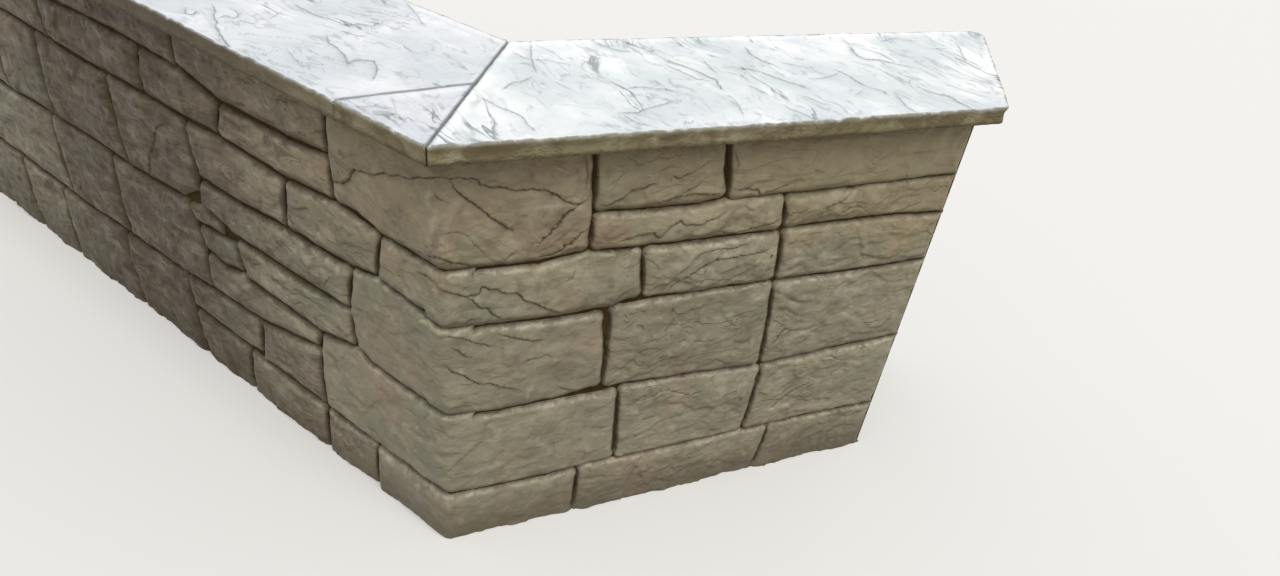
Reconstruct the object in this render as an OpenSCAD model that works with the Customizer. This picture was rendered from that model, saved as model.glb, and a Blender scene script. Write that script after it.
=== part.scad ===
// Low garden parapet of cast concrete in two wings that meet at an obtuse
// outward corner. A moulded stone facing covers the core, some of its blocks
// wrap the corner, and broad coping slabs with a mitred joint lie on top.
// Units are mm, +Z is up, and the origin is where the centre lines of the two
// wings meet, at ground level.

/* [Plan] */
// Angle by which the left wing turns away from the right wing, in degrees
turn = 58; // [30:1:80]
// Length of the right wing at its faced side, from the corner
right_len = 890; // [700:10:1400]
// Slant of the right wing's cut end, away from square, in degrees
end_slant = 35; // [0:1:40]
// Length of one coping slab on the left wing, which is one bay
bay_len = 900; // [800:10:1300]

/* [Wall] */
// Height of the wall from the ground to the underside of the coping
wall_h = 775; // [600:5:1100]
// Thickness of the whole wall over both faced sides
wall_t = 280; // [220:5:400]
// Depth that the moulded blocks stand out
stone_t = 14; // [12:1:30]
// Thickness of the mortar coat under the blocks
coat_t = 26; // [15:1:40]

/* [Moulded blocks] */
// Width of the sunk joint between two blocks
joint_w = 7; // [4:0.5:14]
// Bulge of a block's face, from its edges to its middle
crown = 4; // [1:0.5:6]
// Corner radius of a block's outline
block_r = 14; // [8:1:22]
// Radius of the facing's upright arris at the corner
arris_r = 26; // [10:1:40]
// Usual length of a plain block where the facing runs on
block_len = 260; // [180:10:400]
// Waviness of the bed joints where the facing runs on
wave = 5; // [0:0.5:8]

/* [Coping] */
// Thickness of the coping slabs
cap_t = 30; // [25:1:60]
// Overhang of the coping past the faced sides
cap_over = 35; // [20:1:60]
// How far the right slab passes the slanted end of the wall
cap_end = 45; // [0:5:80]
// Radius of the right slab's corners at its free end, seen from above
cap_corner = 25; // [5:1:60]
// Bevel of the slabs' free upper arrises
cap_arris = 4; // [1:0.5:8]
// Bevel of the slabs' upper arrises along a joint
joint_arris = 1.5; // [0.5:0.5:4]
// Distance of the small wedge slab's outer corner from the wall's corner
wedge_u = 157; // [120:1:260]
// Distance of the wedge slab's inner tip from the faced side
wedge_n = 151; // [80:1:200]
// Width of the joints between coping slabs
cap_joint = 4; // [3:0.5:10]
// Depth by which those joints are raked out
cap_rake = 4; // [2:0.5:8]
// Thickness of the mortar bed under the coping
bed_t = 8; // [5:1:15]
// Distance that the bed stays back from the faced sides
bed_in = 10; // [5:1:30]

/* [Hidden] */
// Tangent of half the turn, which sets the mitre at every depth
k = tan(turn / 2);
// Half of the wall's thickness
c0 = wall_t / 2;
// Height of the core, the coat and the blocks
face_h = wall_h - bed_t;
// Depths of the coat's outer side and of the core's front and back
n_coat = stone_t;
n_core = stone_t + coat_t;
n_core2 = wall_t - n_core;
n_coat2 = wall_t - n_coat;
// Where the coping of the left wing is jointed and where it ends
cap_u1 = wedge_u + bay_len;
cap_u2 = wedge_u + 2 * bay_len;
// Where the left wing's wall ends
left_len = cap_u2 - cap_over;
// Rear edge of the coping, and half the joint between its slabs
cap_n1 = wall_t + cap_over;
cap_half = cap_joint / 2;
// The wedge slab's slanting joint runs from its outer corner to a tip on the
// mitre: the run itself, its direction and the way square to it
cut_run = [wedge_n * k - wedge_u, wedge_n + cap_over];
cut_way = cut_run / norm(cut_run);
cut_off = [cut_way[1], -cut_way[0]];
// Longer than either wing, for cutters that run right through one
reach = 2 * left_len;
// How far a cutter passes what it cuts
past = 30;
// Clearance that parts the wedge's joint from the mitre's
part_gap = 0.3;
// How far the moulded pattern is stretched. Its outlines were measured on a
// wall 775 high, with a right wing of 890 and a left bay that ends at 1057.
zk = wall_h / 775;
rk = right_len / 890;
lk = cap_u1 / 1057;
// Levels of the bed joints, as depths below the coping. The first and the last
// lie outside the facing, so that its edges are cut square there.
levels_left = [-12, 87, 182, 376, 577, 787];
levels_right = [-12, 117, 188, 293, 479, 657, 787];
levels_back = [-12, 128, 262, 400, 520, 655, 787];
// Where the measured pattern of the left wing ends in each row, and where the
// wing itself ends on the same scale
left_stops = [1030, 1110, 1180, 976, 1004];
far_u = left_len / lk;
// Rows of the right wing pass its slanted end, which trims them
right_stop = 910;
// Where the rows on the far side start and, on the right wing, end
back_u0 = wall_t * k + 4;
back_u1 = right_len + wall_t * tan(end_slant) + 20;
// Length of the blocks at the left end, and of the strip that corner blocks
// are cut from, along either wing and in depth
end_len = 150;
wrap_len = 500;
wrap_deep = 200;
// The strip that rounds the arris stands this far in front of the faces
arris_out = 0.6;

// Places a shape drawn in a wing's own frame: u runs along the wing from the
// corner of the two faced planes, n runs inwards and z runs up.
module right_wing() {
  translate([-c0 * k, -c0, 0]) children();
}

module left_wing() {
  rotate([0, 0, -turn]) mirror([1, 0, 0]) translate([-c0 * k, -c0, 0]) children();
}

// An upright strip of a wing between two depths, mitred at the corner
module strip(n0, n1, u1, slant, z0, h) {
  translate([0, 0, z0]) linear_extrude(height = h)
    polygon([[n0 * k, n0], [u1 + n0 * tan(slant), n0],
             [u1 + n1 * tan(slant), n1], [n1 * k, n1]]);
}

// A strip that starts square, further along the wing
module far_strip(n0, n1, u0, u1, z0, h) {
  translate([u0, n0, z0]) cube([u1 - u0, n1 - n0, h]);
}

// A block's outline: the middle lines of its joints, drawn in and rounded
module outline(pts) {
  offset(r = block_r, $fn = 24) offset(delta = -block_r - joint_w / 2) polygon(pts);
}

// A plate with a given outline, between two depths of the wing. Its points
// are distances along the wing and depths below the coping.
module plate(pts, n0, n1, uk = 1) {
  translate([0, n1, wall_h]) rotate([90, 0, 0]) linear_extrude(height = n1 - n0)
    outline([for (p = pts) [p[0] * uk, -p[1] * zk]]);
}

// Radius of an arch of a given span that rises by the bulge
function arch_r(span) = span * span / (8 * crown) + crown / 2;

// Space behind an arched face that runs level along a wing, between two depths
// below the coping. The face bulges outwards: side is 1 at the front of the
// wing, and -1 at the back.
module level_arch(d, face, side) {
  r = arch_r((max(d) - min(d)) * zk);
  translate([0, face + side * r, wall_h - (max(d) + min(d)) / 2 * zk])
    rotate([0, 90, 0]) cylinder(r = r, h = 2 * reach, center = true, $fn = 720);
}

// A block with a bulging face, on the front of a wing or on its back, cut off
// square at the ground and under the coping's bed
module block(pts, n0, n1, uk, side = 1) {
  intersection() {
    translate([0, side > 0 ? n1 : n1 + crown, wall_h]) rotate([90, 0, 0])
      linear_extrude(height = n1 - n0 + crown) intersection() {
        outline([for (p = pts) [p[0] * uk, -p[1] * zk]]);
        translate([0, -wall_h]) square([2 * left_len, face_h]);
      }
    level_arch([for (p = pts) p[1]], side > 0 ? n0 : n1, side);
  }
}

module front_blocks(list, uk) {
  for (p = list) block(p, 0, stone_t, uk);
}

// Height of a bed joint at a place, with a slight wave
function edge(level, u, seed) = level + ((level < 0 || level > 775) ? 0 :
  wave * sin(0.62 * u + 110 * seed) + 0.4 * wave * sin(1.7 * u + 47 * seed));

// Places of the upright joints in one row
function stops(u0, u1, row, len) = let (n = max(1, round((u1 - u0) / len)))
  [for (j = [0:n]) u0 + (u1 - u0) * (j + ((j == 0 || j == n) ? 0 :
    0.24 * sin(97 * j + 151 * row))) / n];

// Slant of an upright joint
function lean(j, n, row) = (j == 0 || j == n) ? 0 : 9 * sin(61 * j + 83 * row);

// Outlines of the plain blocks of one row
function row_blocks(lv, row, u0, u1, len, seed = 0, lean0 = 0, lean1 = 0) = let (
    s = stops(u0, u1, row + seed, len),
    n = len(s) - 1,
    a = lv[row],
    b = lv[row + 1]
  ) [for (j = [0:n - 1]) let (
    l0 = j == 0 ? lean0 : lean(j, n, row + seed),
    l1 = j == n - 1 ? lean1 : lean(j + 1, n, row + seed),
    ta = s[j] + l0,
    tb = s[j + 1] + l1,
    ba = s[j] - l0,
    bb = s[j + 1] - l1
  ) concat(
    [for (t = [0:0.5:1]) let (u = ta + (tb - ta) * t) [u, edge(a, u, row + seed)]],
    [for (t = [0:0.5:1]) let (u = bb + (ba - bb) * t) [u, edge(b, u, row + 1 + seed)]])];

// Blocks of the left wing beside the corner, as distance and depth
block_b = [[238, -12], [626, -12], [628, 83], [517, 109], [345, 108], [240, 97]];
block_c = [[628, 85], [752, 87], [768, 181], [645, 183], [544, 178], [517, 110]];
block_d = [[240, 98], [345, 109], [517, 110], [545, 179], [362, 187], [236, 173]];
block_e = [[545, 179], [645, 184], [632, 296], [500, 296], [376, 286], [364, 188]];
block_f = [[645, 184], [768, 181], [908, 185], [900, 376], [827, 375], [700, 362],
           [640, 327], [632, 296]];
block_g = [[236, 174], [362, 187], [376, 286], [213, 286], [150, 271], [136, 187]];
block_h = [[213, 286], [376, 286], [500, 296], [632, 296], [642, 351], [545, 381],
           [345, 383], [226, 374]];
block_i = [[642, 351], [697, 371], [676, 407], [548, 396], [545, 381]];
block_j = [[548, 396], [676, 407], [661, 462], [602, 473], [535, 455]];
block_k = [[226, 374], [345, 383], [545, 381], [548, 396], [535, 455], [528, 468],
           [316, 475], [218, 451]];
block_l = [[316, 475], [528, 468], [535, 455], [602, 473], [661, 462], [668, 561],
           [508, 554], [330, 515]];
block_m = [[697, 363], [827, 375], [900, 376], [972, 377], [980, 575], [890, 575],
           [768, 571], [668, 561], [661, 462], [676, 407]];
block_n = [[768, 571], [890, 575], [1006, 577], [1002, 787], [753, 787], [762, 653]];
block_o = [[508, 554], [668, 561], [768, 571], [762, 653], [572, 657], [524, 645]];
block_p = [[572, 657], [762, 653], [753, 787], [586, 787]];
block_q = [[325, 513], [508, 554], [524, 645], [530, 661], [333, 663]];
block_low_a = [[333, 663], [530, 661], [572, 657], [586, 787], [340, 787]];
block_low_b = [[190, 665], [333, 663], [340, 787], [196, 787]];

// Blocks of the right wing beside the corner
block_u1 = [[217, -12], [424, -12], [430, 61], [443, 113], [393, 122], [325, 122], [224, 117]];
block_u3 = [[224, 117], [325, 122], [393, 122], [443, 115], [548, 117], [560, 188],
            [405, 189], [303, 189], [222, 183]];
block_u4 = [[311, 189], [405, 189], [560, 188], [568, 291], [422, 293], [320, 289]];

// Blocks that wrap the corner: the left part, then the right part
corner_a_l = [[-45, -12], [238, -12], [240, 97], [236, 173], [185, 174], [132, 186],
              [60, 189], [-45, 189]];
corner_a_r = [[-45, -14], [217, -14], [224, 117], [222, 183], [145, 195], [60, 193], [-45, 189]];
corner_b_l = [[-45, 189], [60, 189], [136, 187], [150, 271], [89, 280], [30, 289],
              [-45, 293]];
corner_b_r = [[-45, 189], [60, 193], [145, 195], [222, 183], [311, 189], [320, 281],
              [270, 298], [180, 303], [80, 299], [-45, 293]];
corner_c_l = [[-45, 293], [30, 289], [89, 280], [150, 271], [213, 286], [226, 374],
              [218, 451], [178, 465], [103, 470], [-45, 471]];
corner_c_r = [[-45, 293], [80, 299], [180, 303], [258, 303], [268, 385], [268, 465],
              [190, 479], [90, 482], [-45, 471]];
corner_d_l = [[-45, 471], [103, 470], [178, 465], [218, 451], [316, 475], [325, 513],
              [333, 663], [190, 665], [-45, 661]];
corner_d_r = [[-45, 471], [90, 482], [190, 479], [300, 479], [310, 657], [180, 665],
              [-45, 661]];
corner_e_l = [[-45, 661], [190, 665], [196, 787], [-45, 787]];
corner_e_r = [[-45, 661], [180, 665], [240, 657], [236, 789], [-45, 789]];

// A place on the left wing, in the right wing's own frame
function over(u, n) = [n * sin(turn) - u * cos(turn), u * sin(turn) + n * cos(turn)];

// A bent plate in plan, between two depths
module bent_plan(n0, n1) {
  translate([-c0 * k, -c0])
    polygon([[wrap_len, n0], [wrap_len, n1], [n1 * k, n1],
             over(wrap_len, n1), over(wrap_len, n0), [n0 * k, n0]]);
}

// The bent strip from which corner blocks are cut, with its arris rounded
module bent_strip() {
  linear_extrude(height = face_h) difference() {
    offset(r = arris_r, $fn = 32) offset(delta = -arris_r) bent_plan(-arris_out, wrap_deep);
    bent_plan(stone_t, 2 * wrap_deep);
  }
}

module corner_block(left_pts, right_pts) {
  intersection() {
    bent_strip();
    union() {
      left_wing() plate(left_pts, -past, stone_t + past, lk);
      right_wing() plate(right_pts, -past, stone_t + past, rk);
    }
    left_wing() level_arch([for (p = left_pts) p[1]], 0, 1);
    right_wing() level_arch([for (p = right_pts) p[1]], 0, 1);
  }
}

// Blocks cut off by the slanted end of the right wing
module slant_trim() {
  intersection() {
    children();
    strip(-2 * crown, wall_t + 2 * crown, right_len, end_slant, 0, face_h);
  }
}

module core_right() {
  color([0.55, 0.53, 0.48]) right_wing() strip(n_core, n_core2, right_len, end_slant, 0, face_h);
}

module core_left_a() {
  color([0.55, 0.53, 0.48]) left_wing() strip(n_core, n_core2, cap_u1, 0, 0, face_h);
}

module core_left_b() {
  color([0.55, 0.53, 0.48]) left_wing()
    far_strip(n_core, n_core2, cap_u1, left_len - n_core, 0, face_h);
}

module coat_right() {
  color([0.34, 0.31, 0.26]) right_wing() strip(n_coat, n_core, right_len, end_slant, 0, face_h);
}

module coat_left_a() {
  color([0.34, 0.31, 0.26]) left_wing() strip(n_coat, n_core, cap_u1, 0, 0, face_h);
}

module coat_left_b() {
  color([0.34, 0.31, 0.26]) left_wing()
    far_strip(n_coat, n_core, cap_u1, left_len - n_coat, 0, face_h);
}

module coat_back_right() {
  color([0.34, 0.31, 0.26]) right_wing() strip(n_core2, n_coat2, right_len, end_slant, 0, face_h);
}

module coat_back_left_a() {
  color([0.34, 0.31, 0.26]) left_wing() strip(n_core2, n_coat2, cap_u1, 0, 0, face_h);
}

module coat_back_left_b() {
  color([0.34, 0.31, 0.26]) left_wing()
    far_strip(n_core2, n_coat2, cap_u1, left_len - n_coat, 0, face_h);
}

module coat_end() {
  color([0.34, 0.31, 0.26]) left_wing()
    far_strip(n_core, n_core2, left_len - n_core, left_len - n_coat, 0, face_h);
}

module corner_1() {
  color([0.49, 0.46, 0.39]) corner_block(corner_a_l, corner_a_r);
}

module corner_2() {
  color([0.49, 0.46, 0.39]) corner_block(corner_b_l, corner_b_r);
}

module corner_3() {
  color([0.49, 0.46, 0.39]) corner_block(corner_c_l, corner_c_r);
}

module corner_4() {
  color([0.49, 0.46, 0.39]) corner_block(corner_d_l, corner_d_r);
}

module corner_5() {
  color([0.49, 0.46, 0.39]) corner_block(corner_e_l, corner_e_r);
}

module blocks_right_1() {
  color([0.49, 0.46, 0.39]) right_wing() slant_trim()
    front_blocks(concat([block_u1], row_blocks(levels_right, 0, 434, right_stop, 470, 0, -10, 0)), rk);
}

module blocks_right_2() {
  color([0.49, 0.46, 0.39]) right_wing() slant_trim()
    front_blocks(concat([block_u3], row_blocks(levels_right, 1, 554, right_stop, 340, 0, -6, 0)), rk);
}

module blocks_right_3() {
  color([0.49, 0.46, 0.39]) right_wing() slant_trim()
    front_blocks(concat([block_u4], row_blocks(levels_right, 2, 564, right_stop, 300, 0, -4, 0),
                        row_blocks(levels_right, 3, 268, right_stop, 300)), rk);
}

module blocks_right_4() {
  color([0.49, 0.46, 0.39]) right_wing() slant_trim()
    front_blocks(concat(row_blocks(levels_right, 4, 305, right_stop, 300, 0, -5, 0),
                        row_blocks(levels_right, 5, 238, right_stop, 320, 0, 2, 0)), rk);
}

module blocks_left_1() {
  color([0.49, 0.46, 0.39]) left_wing()
    front_blocks(concat([block_b, block_c, block_d],
                        row_blocks(levels_left, 0, 627, left_stops[0], 400, 0, -1, 6),
                        row_blocks(levels_left, 1, 760, left_stops[1], 350, 0, -8, 4)), lk);
}

module blocks_left_2() {
  color([0.49, 0.46, 0.39]) left_wing()
    front_blocks(concat([block_e, block_f, block_g, block_h],
                        row_blocks(levels_left, 2, 904, left_stops[2], 300, 0, 4, -6)), lk);
}

module blocks_left_3() {
  color([0.49, 0.46, 0.39]) left_wing()
    front_blocks([block_i, block_j, block_k, block_l, block_m], lk);
}

module blocks_left_4() {
  color([0.49, 0.46, 0.39]) left_wing()
    front_blocks([block_n, block_o, block_p, block_q, block_low_a, block_low_b], lk);
}

module blocks_far_1() {
  color([0.49, 0.46, 0.39]) left_wing()
    front_blocks(concat(row_blocks(levels_left, 0, left_stops[0], far_u, 330, 3, 6, 0),
                        row_blocks(levels_left, 1, left_stops[1], far_u, block_len, 3, 4, 0)), lk);
}

module blocks_far_2() {
  color([0.49, 0.46, 0.39]) left_wing()
    front_blocks(row_blocks(levels_left, 2, left_stops[2], far_u, 200, 3, -6, 0), lk);
}

module blocks_far_3() {
  color([0.49, 0.46, 0.39]) left_wing()
    front_blocks(concat(row_blocks(levels_left, 3, left_stops[3], far_u, 310, 3, -4, 0),
                        row_blocks(levels_left, 4, left_stops[4], far_u, block_len, 3, 2, 0)), lk);
}

// Plain rows on the far side of a wing, from the inner corner
module back_rows(rows, u0, u1, len, seed) {
  for (r = rows) for (p = row_blocks(levels_back, r, u0, u1, len, seed))
    block(p, n_coat2, wall_t, 1, -1);
}

module back_right_1() {
  color([0.49, 0.46, 0.39]) right_wing() slant_trim()
    back_rows([0:2], back_u0, back_u1, block_len, 5);
}

module back_right_2() {
  color([0.49, 0.46, 0.39]) right_wing() slant_trim()
    back_rows([3:5], back_u0, back_u1, block_len, 5);
}

module back_left_1() {
  color([0.49, 0.46, 0.39]) left_wing()
    back_rows([0:2], back_u0, cap_u1, block_len, 8);
}

module back_left_2() {
  color([0.49, 0.46, 0.39]) left_wing()
    back_rows([3:5], back_u0, cap_u1, block_len, 8);
}

module back_far_1() {
  color([0.49, 0.46, 0.39]) left_wing()
    back_rows([0:2], cap_u1, left_len, block_len, 11);
}

module back_far_2() {
  color([0.49, 0.46, 0.39]) left_wing()
    back_rows([3:5], cap_u1, left_len, block_len, 11);
}

module blocks_end() {
  color([0.49, 0.46, 0.39]) left_wing() translate([left_len, 0, 0]) rotate([0, 0, 90])
    for (r = [0:4]) for (p = row_blocks(levels_left, r, n_coat, n_coat2, end_len, 14))
      block(p, 0, stone_t, 1);
}

// Corners of the slabs in a wing's own frame, a gap away from the middle line
// of a joint: on the mitre, on the wedge's slanting joint, and where they meet
function on_mitre(n, gap) = [n * k + gap / cos(turn / 2), n];

function on_cut(n, gap) = [wedge_u + (n + cap_over) * cut_run[0] / cut_run[1] + gap / cut_off[0], n];

function meeting(cut_gap, gap) = let (
    p = on_cut(0, cut_gap),
    t = (on_mitre(0, gap)[0] - p[0]) / (cut_way[0] - cut_way[1] * k)
  ) p + t * cut_way;

// Where the right slab's slanted end is at a given depth
function end_at(n) = right_len + cap_end + n * tan(end_slant);

// A rounded corner of the right slab, about a centre at a given depth
function end_corner(n, a0, a1) = [for (i = [0:6])
    [end_at(n) - cap_corner / cos(end_slant), n] +
    cap_corner * [cos(a0 + (a1 - a0) * i / 6), sin(a0 + (a1 - a0) * i / 6)]];

module slab(pts) {
  translate([0, 0, wall_h]) linear_extrude(height = cap_t) polygon(pts);
}

// Takes the upper arris off a slab, along a line through a point
module bevel(p, angle, size) {
  translate([p[0], p[1], wall_h + cap_t]) rotate([0, 0, angle]) rotate([45, 0, 0])
    cube([2 * reach, size * sqrt(2), size * sqrt(2)], center = true);
}

module free_bevels() {
  bevel([0, -cap_over], 0, cap_arris);
  bevel([0, cap_n1], 0, cap_arris);
}

module mitre_bevel() {
  bevel(on_mitre(0, cap_half), 90 - turn / 2, joint_arris);
}

module cut_bevel(side) {
  bevel(on_cut(0, side * cap_half), atan2(cut_way[1], cut_way[0]), joint_arris);
}

module cap_right() {
  color([0.83, 0.84, 0.84]) right_wing() difference() {
    slab(concat([on_mitre(-cap_over, cap_half)],
                end_corner(-cap_over + cap_corner, -90, -end_slant),
                end_corner(cap_n1 - cap_corner, -end_slant, 90),
                [on_mitre(cap_n1, cap_half)]));
    free_bevels();
    mitre_bevel();
    bevel([end_at(0), 0], 90 - end_slant, cap_arris);
  }
}

module cap_wedge() {
  color([0.83, 0.84, 0.84]) left_wing() difference() {
    slab([on_mitre(-cap_over, cap_half), on_cut(-cap_over, -cap_half),
          meeting(-cap_half, cap_half)]);
    free_bevels();
    mitre_bevel();
    cut_bevel(-1);
  }
}

module cap_left_a() {
  color([0.83, 0.84, 0.84]) left_wing() difference() {
    slab([on_cut(-cap_over, cap_half), [cap_u1 - cap_half, -cap_over], [cap_u1 - cap_half, cap_n1],
          on_mitre(cap_n1, cap_half), meeting(cap_half, cap_half)]);
    free_bevels();
    mitre_bevel();
    cut_bevel(1);
    bevel([cap_u1 - cap_half, 0], 90, joint_arris);
  }
}

module cap_left_b() {
  color([0.83, 0.84, 0.84]) left_wing() difference() {
    slab([[cap_u1 + cap_half, -cap_over], [cap_u2, -cap_over],
          [cap_u2, cap_n1], [cap_u1 + cap_half, cap_n1]]);
    free_bevels();
    bevel([cap_u1 + cap_half, 0], 90, joint_arris);
    bevel([cap_u2, 0], 90, cap_arris);
  }
}

// Mortar in the coping's joints, raked back from the slabs' faces
module cap_joints() {
  n = cap_rake - cap_over;
  run = cap_n1 + cap_over - 2 * cap_rake;
  h = cap_t - cap_rake;
  color([0.30, 0.28, 0.24]) {
    right_wing() rotate([0, 0, -turn / 2])
      translate([-cap_half, n / cos(turn / 2), wall_h]) cube([cap_joint, run / cos(turn / 2), h]);
    left_wing() translate([0, 0, wall_h]) linear_extrude(height = h)
      polygon([on_cut(n, cap_half), on_cut(n, -cap_half), meeting(-cap_half, cap_half + part_gap),
               meeting(cap_half, cap_half + part_gap)]);
    left_wing() translate([cap_u1 - cap_half, n, wall_h]) cube([cap_joint, run, h]);
  }
}

module cap_bed_right() {
  color([0.40, 0.38, 0.33]) right_wing()
    strip(bed_in, wall_t - bed_in, right_len, end_slant, face_h, bed_t);
}

module cap_bed_left() {
  color([0.40, 0.38, 0.33]) left_wing()
    strip(bed_in, wall_t - bed_in, left_len - bed_in, 0, face_h, bed_t);
}

core_right();
core_left_a();
core_left_b();
coat_right();
coat_left_a();
coat_left_b();
coat_back_right();
coat_back_left_a();
coat_back_left_b();
coat_end();
corner_1();
corner_2();
corner_3();
corner_4();
corner_5();
blocks_right_1();
blocks_right_2();
blocks_right_3();
blocks_right_4();
blocks_left_1();
blocks_left_2();
blocks_left_3();
blocks_left_4();
blocks_far_1();
blocks_far_2();
blocks_far_3();
back_right_1();
back_right_2();
back_left_1();
back_left_2();
back_far_1();
back_far_2();
blocks_end();
cap_right();
cap_wedge();
cap_left_a();
cap_left_b();
cap_joints();
cap_bed_right();
cap_bed_left();
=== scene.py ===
# %% [markdown]
# # A garden parapet of moulded concrete
# The object is a low wall in two wings that meet at an obtuse corner. Its
# facing is concrete that was pressed into moulds, so that it looks like hewn
# stones with sunk joints, and its coping slabs were stamped with a slate
# pattern. The CAD part holds the true sizes: core, mortar coat, every block
# and every slab. This script leaves those solids where they are and gives
# them the surfaces of the real ones.
#
# We start by loading the CAD part. Each node comes in as one mesh, in metres,
# already in its place.

import math

import bpy
import numpy as np
from mathutils import Matrix, Vector, noise
from mathutils.geometry import delaunay_2d_cdt


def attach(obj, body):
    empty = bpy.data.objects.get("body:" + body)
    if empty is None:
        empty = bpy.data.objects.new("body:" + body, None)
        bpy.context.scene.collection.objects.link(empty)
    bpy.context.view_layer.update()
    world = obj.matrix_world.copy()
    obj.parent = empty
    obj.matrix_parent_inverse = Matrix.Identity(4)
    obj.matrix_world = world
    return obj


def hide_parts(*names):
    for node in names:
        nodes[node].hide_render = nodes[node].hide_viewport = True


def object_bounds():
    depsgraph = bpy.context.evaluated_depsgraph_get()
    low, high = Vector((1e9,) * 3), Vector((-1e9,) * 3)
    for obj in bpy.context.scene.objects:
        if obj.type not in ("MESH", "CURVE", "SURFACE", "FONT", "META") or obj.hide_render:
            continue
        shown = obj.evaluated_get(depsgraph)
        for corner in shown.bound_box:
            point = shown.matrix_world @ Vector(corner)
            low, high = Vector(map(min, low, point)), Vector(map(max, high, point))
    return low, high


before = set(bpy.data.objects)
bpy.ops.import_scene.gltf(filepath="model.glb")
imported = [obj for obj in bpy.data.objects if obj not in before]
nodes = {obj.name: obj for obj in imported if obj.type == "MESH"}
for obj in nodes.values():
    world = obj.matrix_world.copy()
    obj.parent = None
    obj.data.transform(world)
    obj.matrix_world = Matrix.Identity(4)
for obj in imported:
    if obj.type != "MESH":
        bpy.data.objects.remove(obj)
cad_low, cad_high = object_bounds()
print("nodes", len(nodes), "box", tuple(cad_low), tuple(cad_high))

# %% [markdown]
# ## The camera
# A picture is matched by putting the camera where the photographer stood. The
# place, the three turns and the lens below were found by fitting some forty
# corners of the wall to where they are seen. Yaw turns the camera to the
# right, pitch tips it down, and roll leans it.

# %% Camera
def put(name, data):
    """A new object in the scene."""
    obj = bpy.data.objects.new(name, data)
    bpy.context.scene.collection.objects.link(obj)
    return obj


eye = Vector((-0.2470, -1.1071, 1.2781))
yaw, pitch, roll = 0.4613, 0.6148, -0.1395
focal_pixels, picture_pixels = 835.93, 1280
flat_part = math.cos(pitch)
ahead = Vector((math.sin(yaw) * flat_part, math.cos(yaw) * flat_part, -math.sin(pitch)))
level = Vector((math.cos(yaw), -math.sin(yaw), 0.0))
below = ahead.cross(level)
to_right = math.cos(roll) * level + math.sin(roll) * below
to_top = math.sin(roll) * level - math.cos(roll) * below
lens = bpy.data.cameras.new("camera")
lens.sensor_fit = "HORIZONTAL"
lens.sensor_width = 36.0
lens.lens = focal_pixels / picture_pixels * lens.sensor_width
camera = put("camera", lens)
axes = Matrix((to_right, to_top, -ahead)).transposed()
camera.matrix_world = Matrix.Translation(eye) @ axes.to_4x4()
bpy.context.scene.camera = camera
print("lens", round(lens.lens, 2), "mm")

# %% [markdown]
# ## Values that vary
# Sky, floor and finishes are node trees. Most of their nodes do plain sums on
# a value that varies over the surface, so we call such a value a field and
# let Python's own signs add the Math nodes: `a * 0.5 + b` makes two of them.
# Three more things are done to a field again and again: it is carried from
# one range to another, read as the place for a noise, or stretched.

# %% Fields and nodes
class Field:
    """One output of a node. Sums with it add Math nodes to its tree."""

    def __init__(self, socket):
        self.socket, self.tree = socket, socket.id_data

    def __add__(self, other):
        return calc("ADD", self, other)

    def __sub__(self, other):
        return calc("SUBTRACT", self, other)

    def __rsub__(self, other):
        return calc("SUBTRACT", other, self)

    def __mul__(self, other):
        return calc("MULTIPLY", self, other)

    def __truediv__(self, other):
        return calc("DIVIDE", self, other)

    def ramp(self, low, high, to_low=0.0, to_high=1.0):
        """Carried smoothly from one range to another."""
        values = {0: self, 1: low, 2: high, 3: to_low, 4: to_high}
        return field(self.tree, "ShaderNodeMapRange", values, interpolation_type="SMOOTHSTEP")

    def clouds(self, scale, detail=3.0, rough=0.55, bend=0.0):
        """Noise at the places that this field holds."""
        values = {"Vector": self, "Scale": scale, "Detail": detail}
        values |= {"Roughness": rough, "Distortion": bend}
        return field(self.tree, "ShaderNodeTexNoise", values, "Fac")

    def stretched(self, scale=(1.0, 1.0, 1.0), shift=(0.0, 0.0, 0.0)):
        return field(self.tree, "ShaderNodeMapping", {0: self, 1: shift, 3: scale})


# %% Nodes that take fields
def plug(value, socket):
    """Link a field to a socket, or write a plain number or colour on it."""
    if isinstance(value, Field):
        socket.id_data.links.new(value.socket, socket)
    else:
        socket.default_value = value


def add_node(tree, kind, values=None, **settings):
    """A new node: settings are its properties, values are for its sockets."""
    made = tree.nodes.new(kind)
    for key, value in settings.items():
        setattr(made, key, value)
    for key, value in (values or {}).items():
        plug(value, made.inputs[key])
    return made


def field(tree, kind, values=None, out=0, **settings):
    """A new node, of which only one output is wanted."""
    return Field(add_node(tree, kind, values, **settings).outputs[out])


def fields(made):
    """All outputs of a node, by name."""
    return {out.name: Field(out) for out in made.outputs}


def calc(operation, a, b=0.0, clamp=False):
    tree = (a if isinstance(a, Field) else b).tree
    return field(tree, "ShaderNodeMath", {0: a, 1: b}, operation=operation, use_clamp=clamp)


# %% [markdown]
# ## Light and floor
# The wall stands outdoors under a bright, covered sky: no hard shadows, a
# bright top and darker faces. One wide soft sun from above and an even sky
# give that. The floor is plain and pale for the camera, but the light that
# it throws back on the wall is weaker and warmer. A second, hidden floor could
# do that too, but a Light Path node tells the two apart in one material, and
# lets the sheen on the coping see the pale background.

# %% One look for the camera, another for the light
def seen_share(tree):
    """1 for the rays that show the pale background: seen, mirrored or let through."""
    path = fields(add_node(tree, "ShaderNodeLightPath"))
    share = path["Is Camera Ray"]
    for ray in ("Is Glossy Ray", "Is Transmission Ray"):
        share = calc("MAXIMUM", share, path[ray])
    return share


def two_shaders(tree, kind, lit, seen, target):
    """One shader for the light that falls on the wall, and one for the rays that show it."""
    tree.nodes.clear()
    values = {"Fac": seen_share(tree), 1: field(tree, kind, lit), 2: field(tree, kind, seen)}
    add_node(tree, target, {"Surface": field(tree, "ShaderNodeMixShader", values)})


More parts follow.
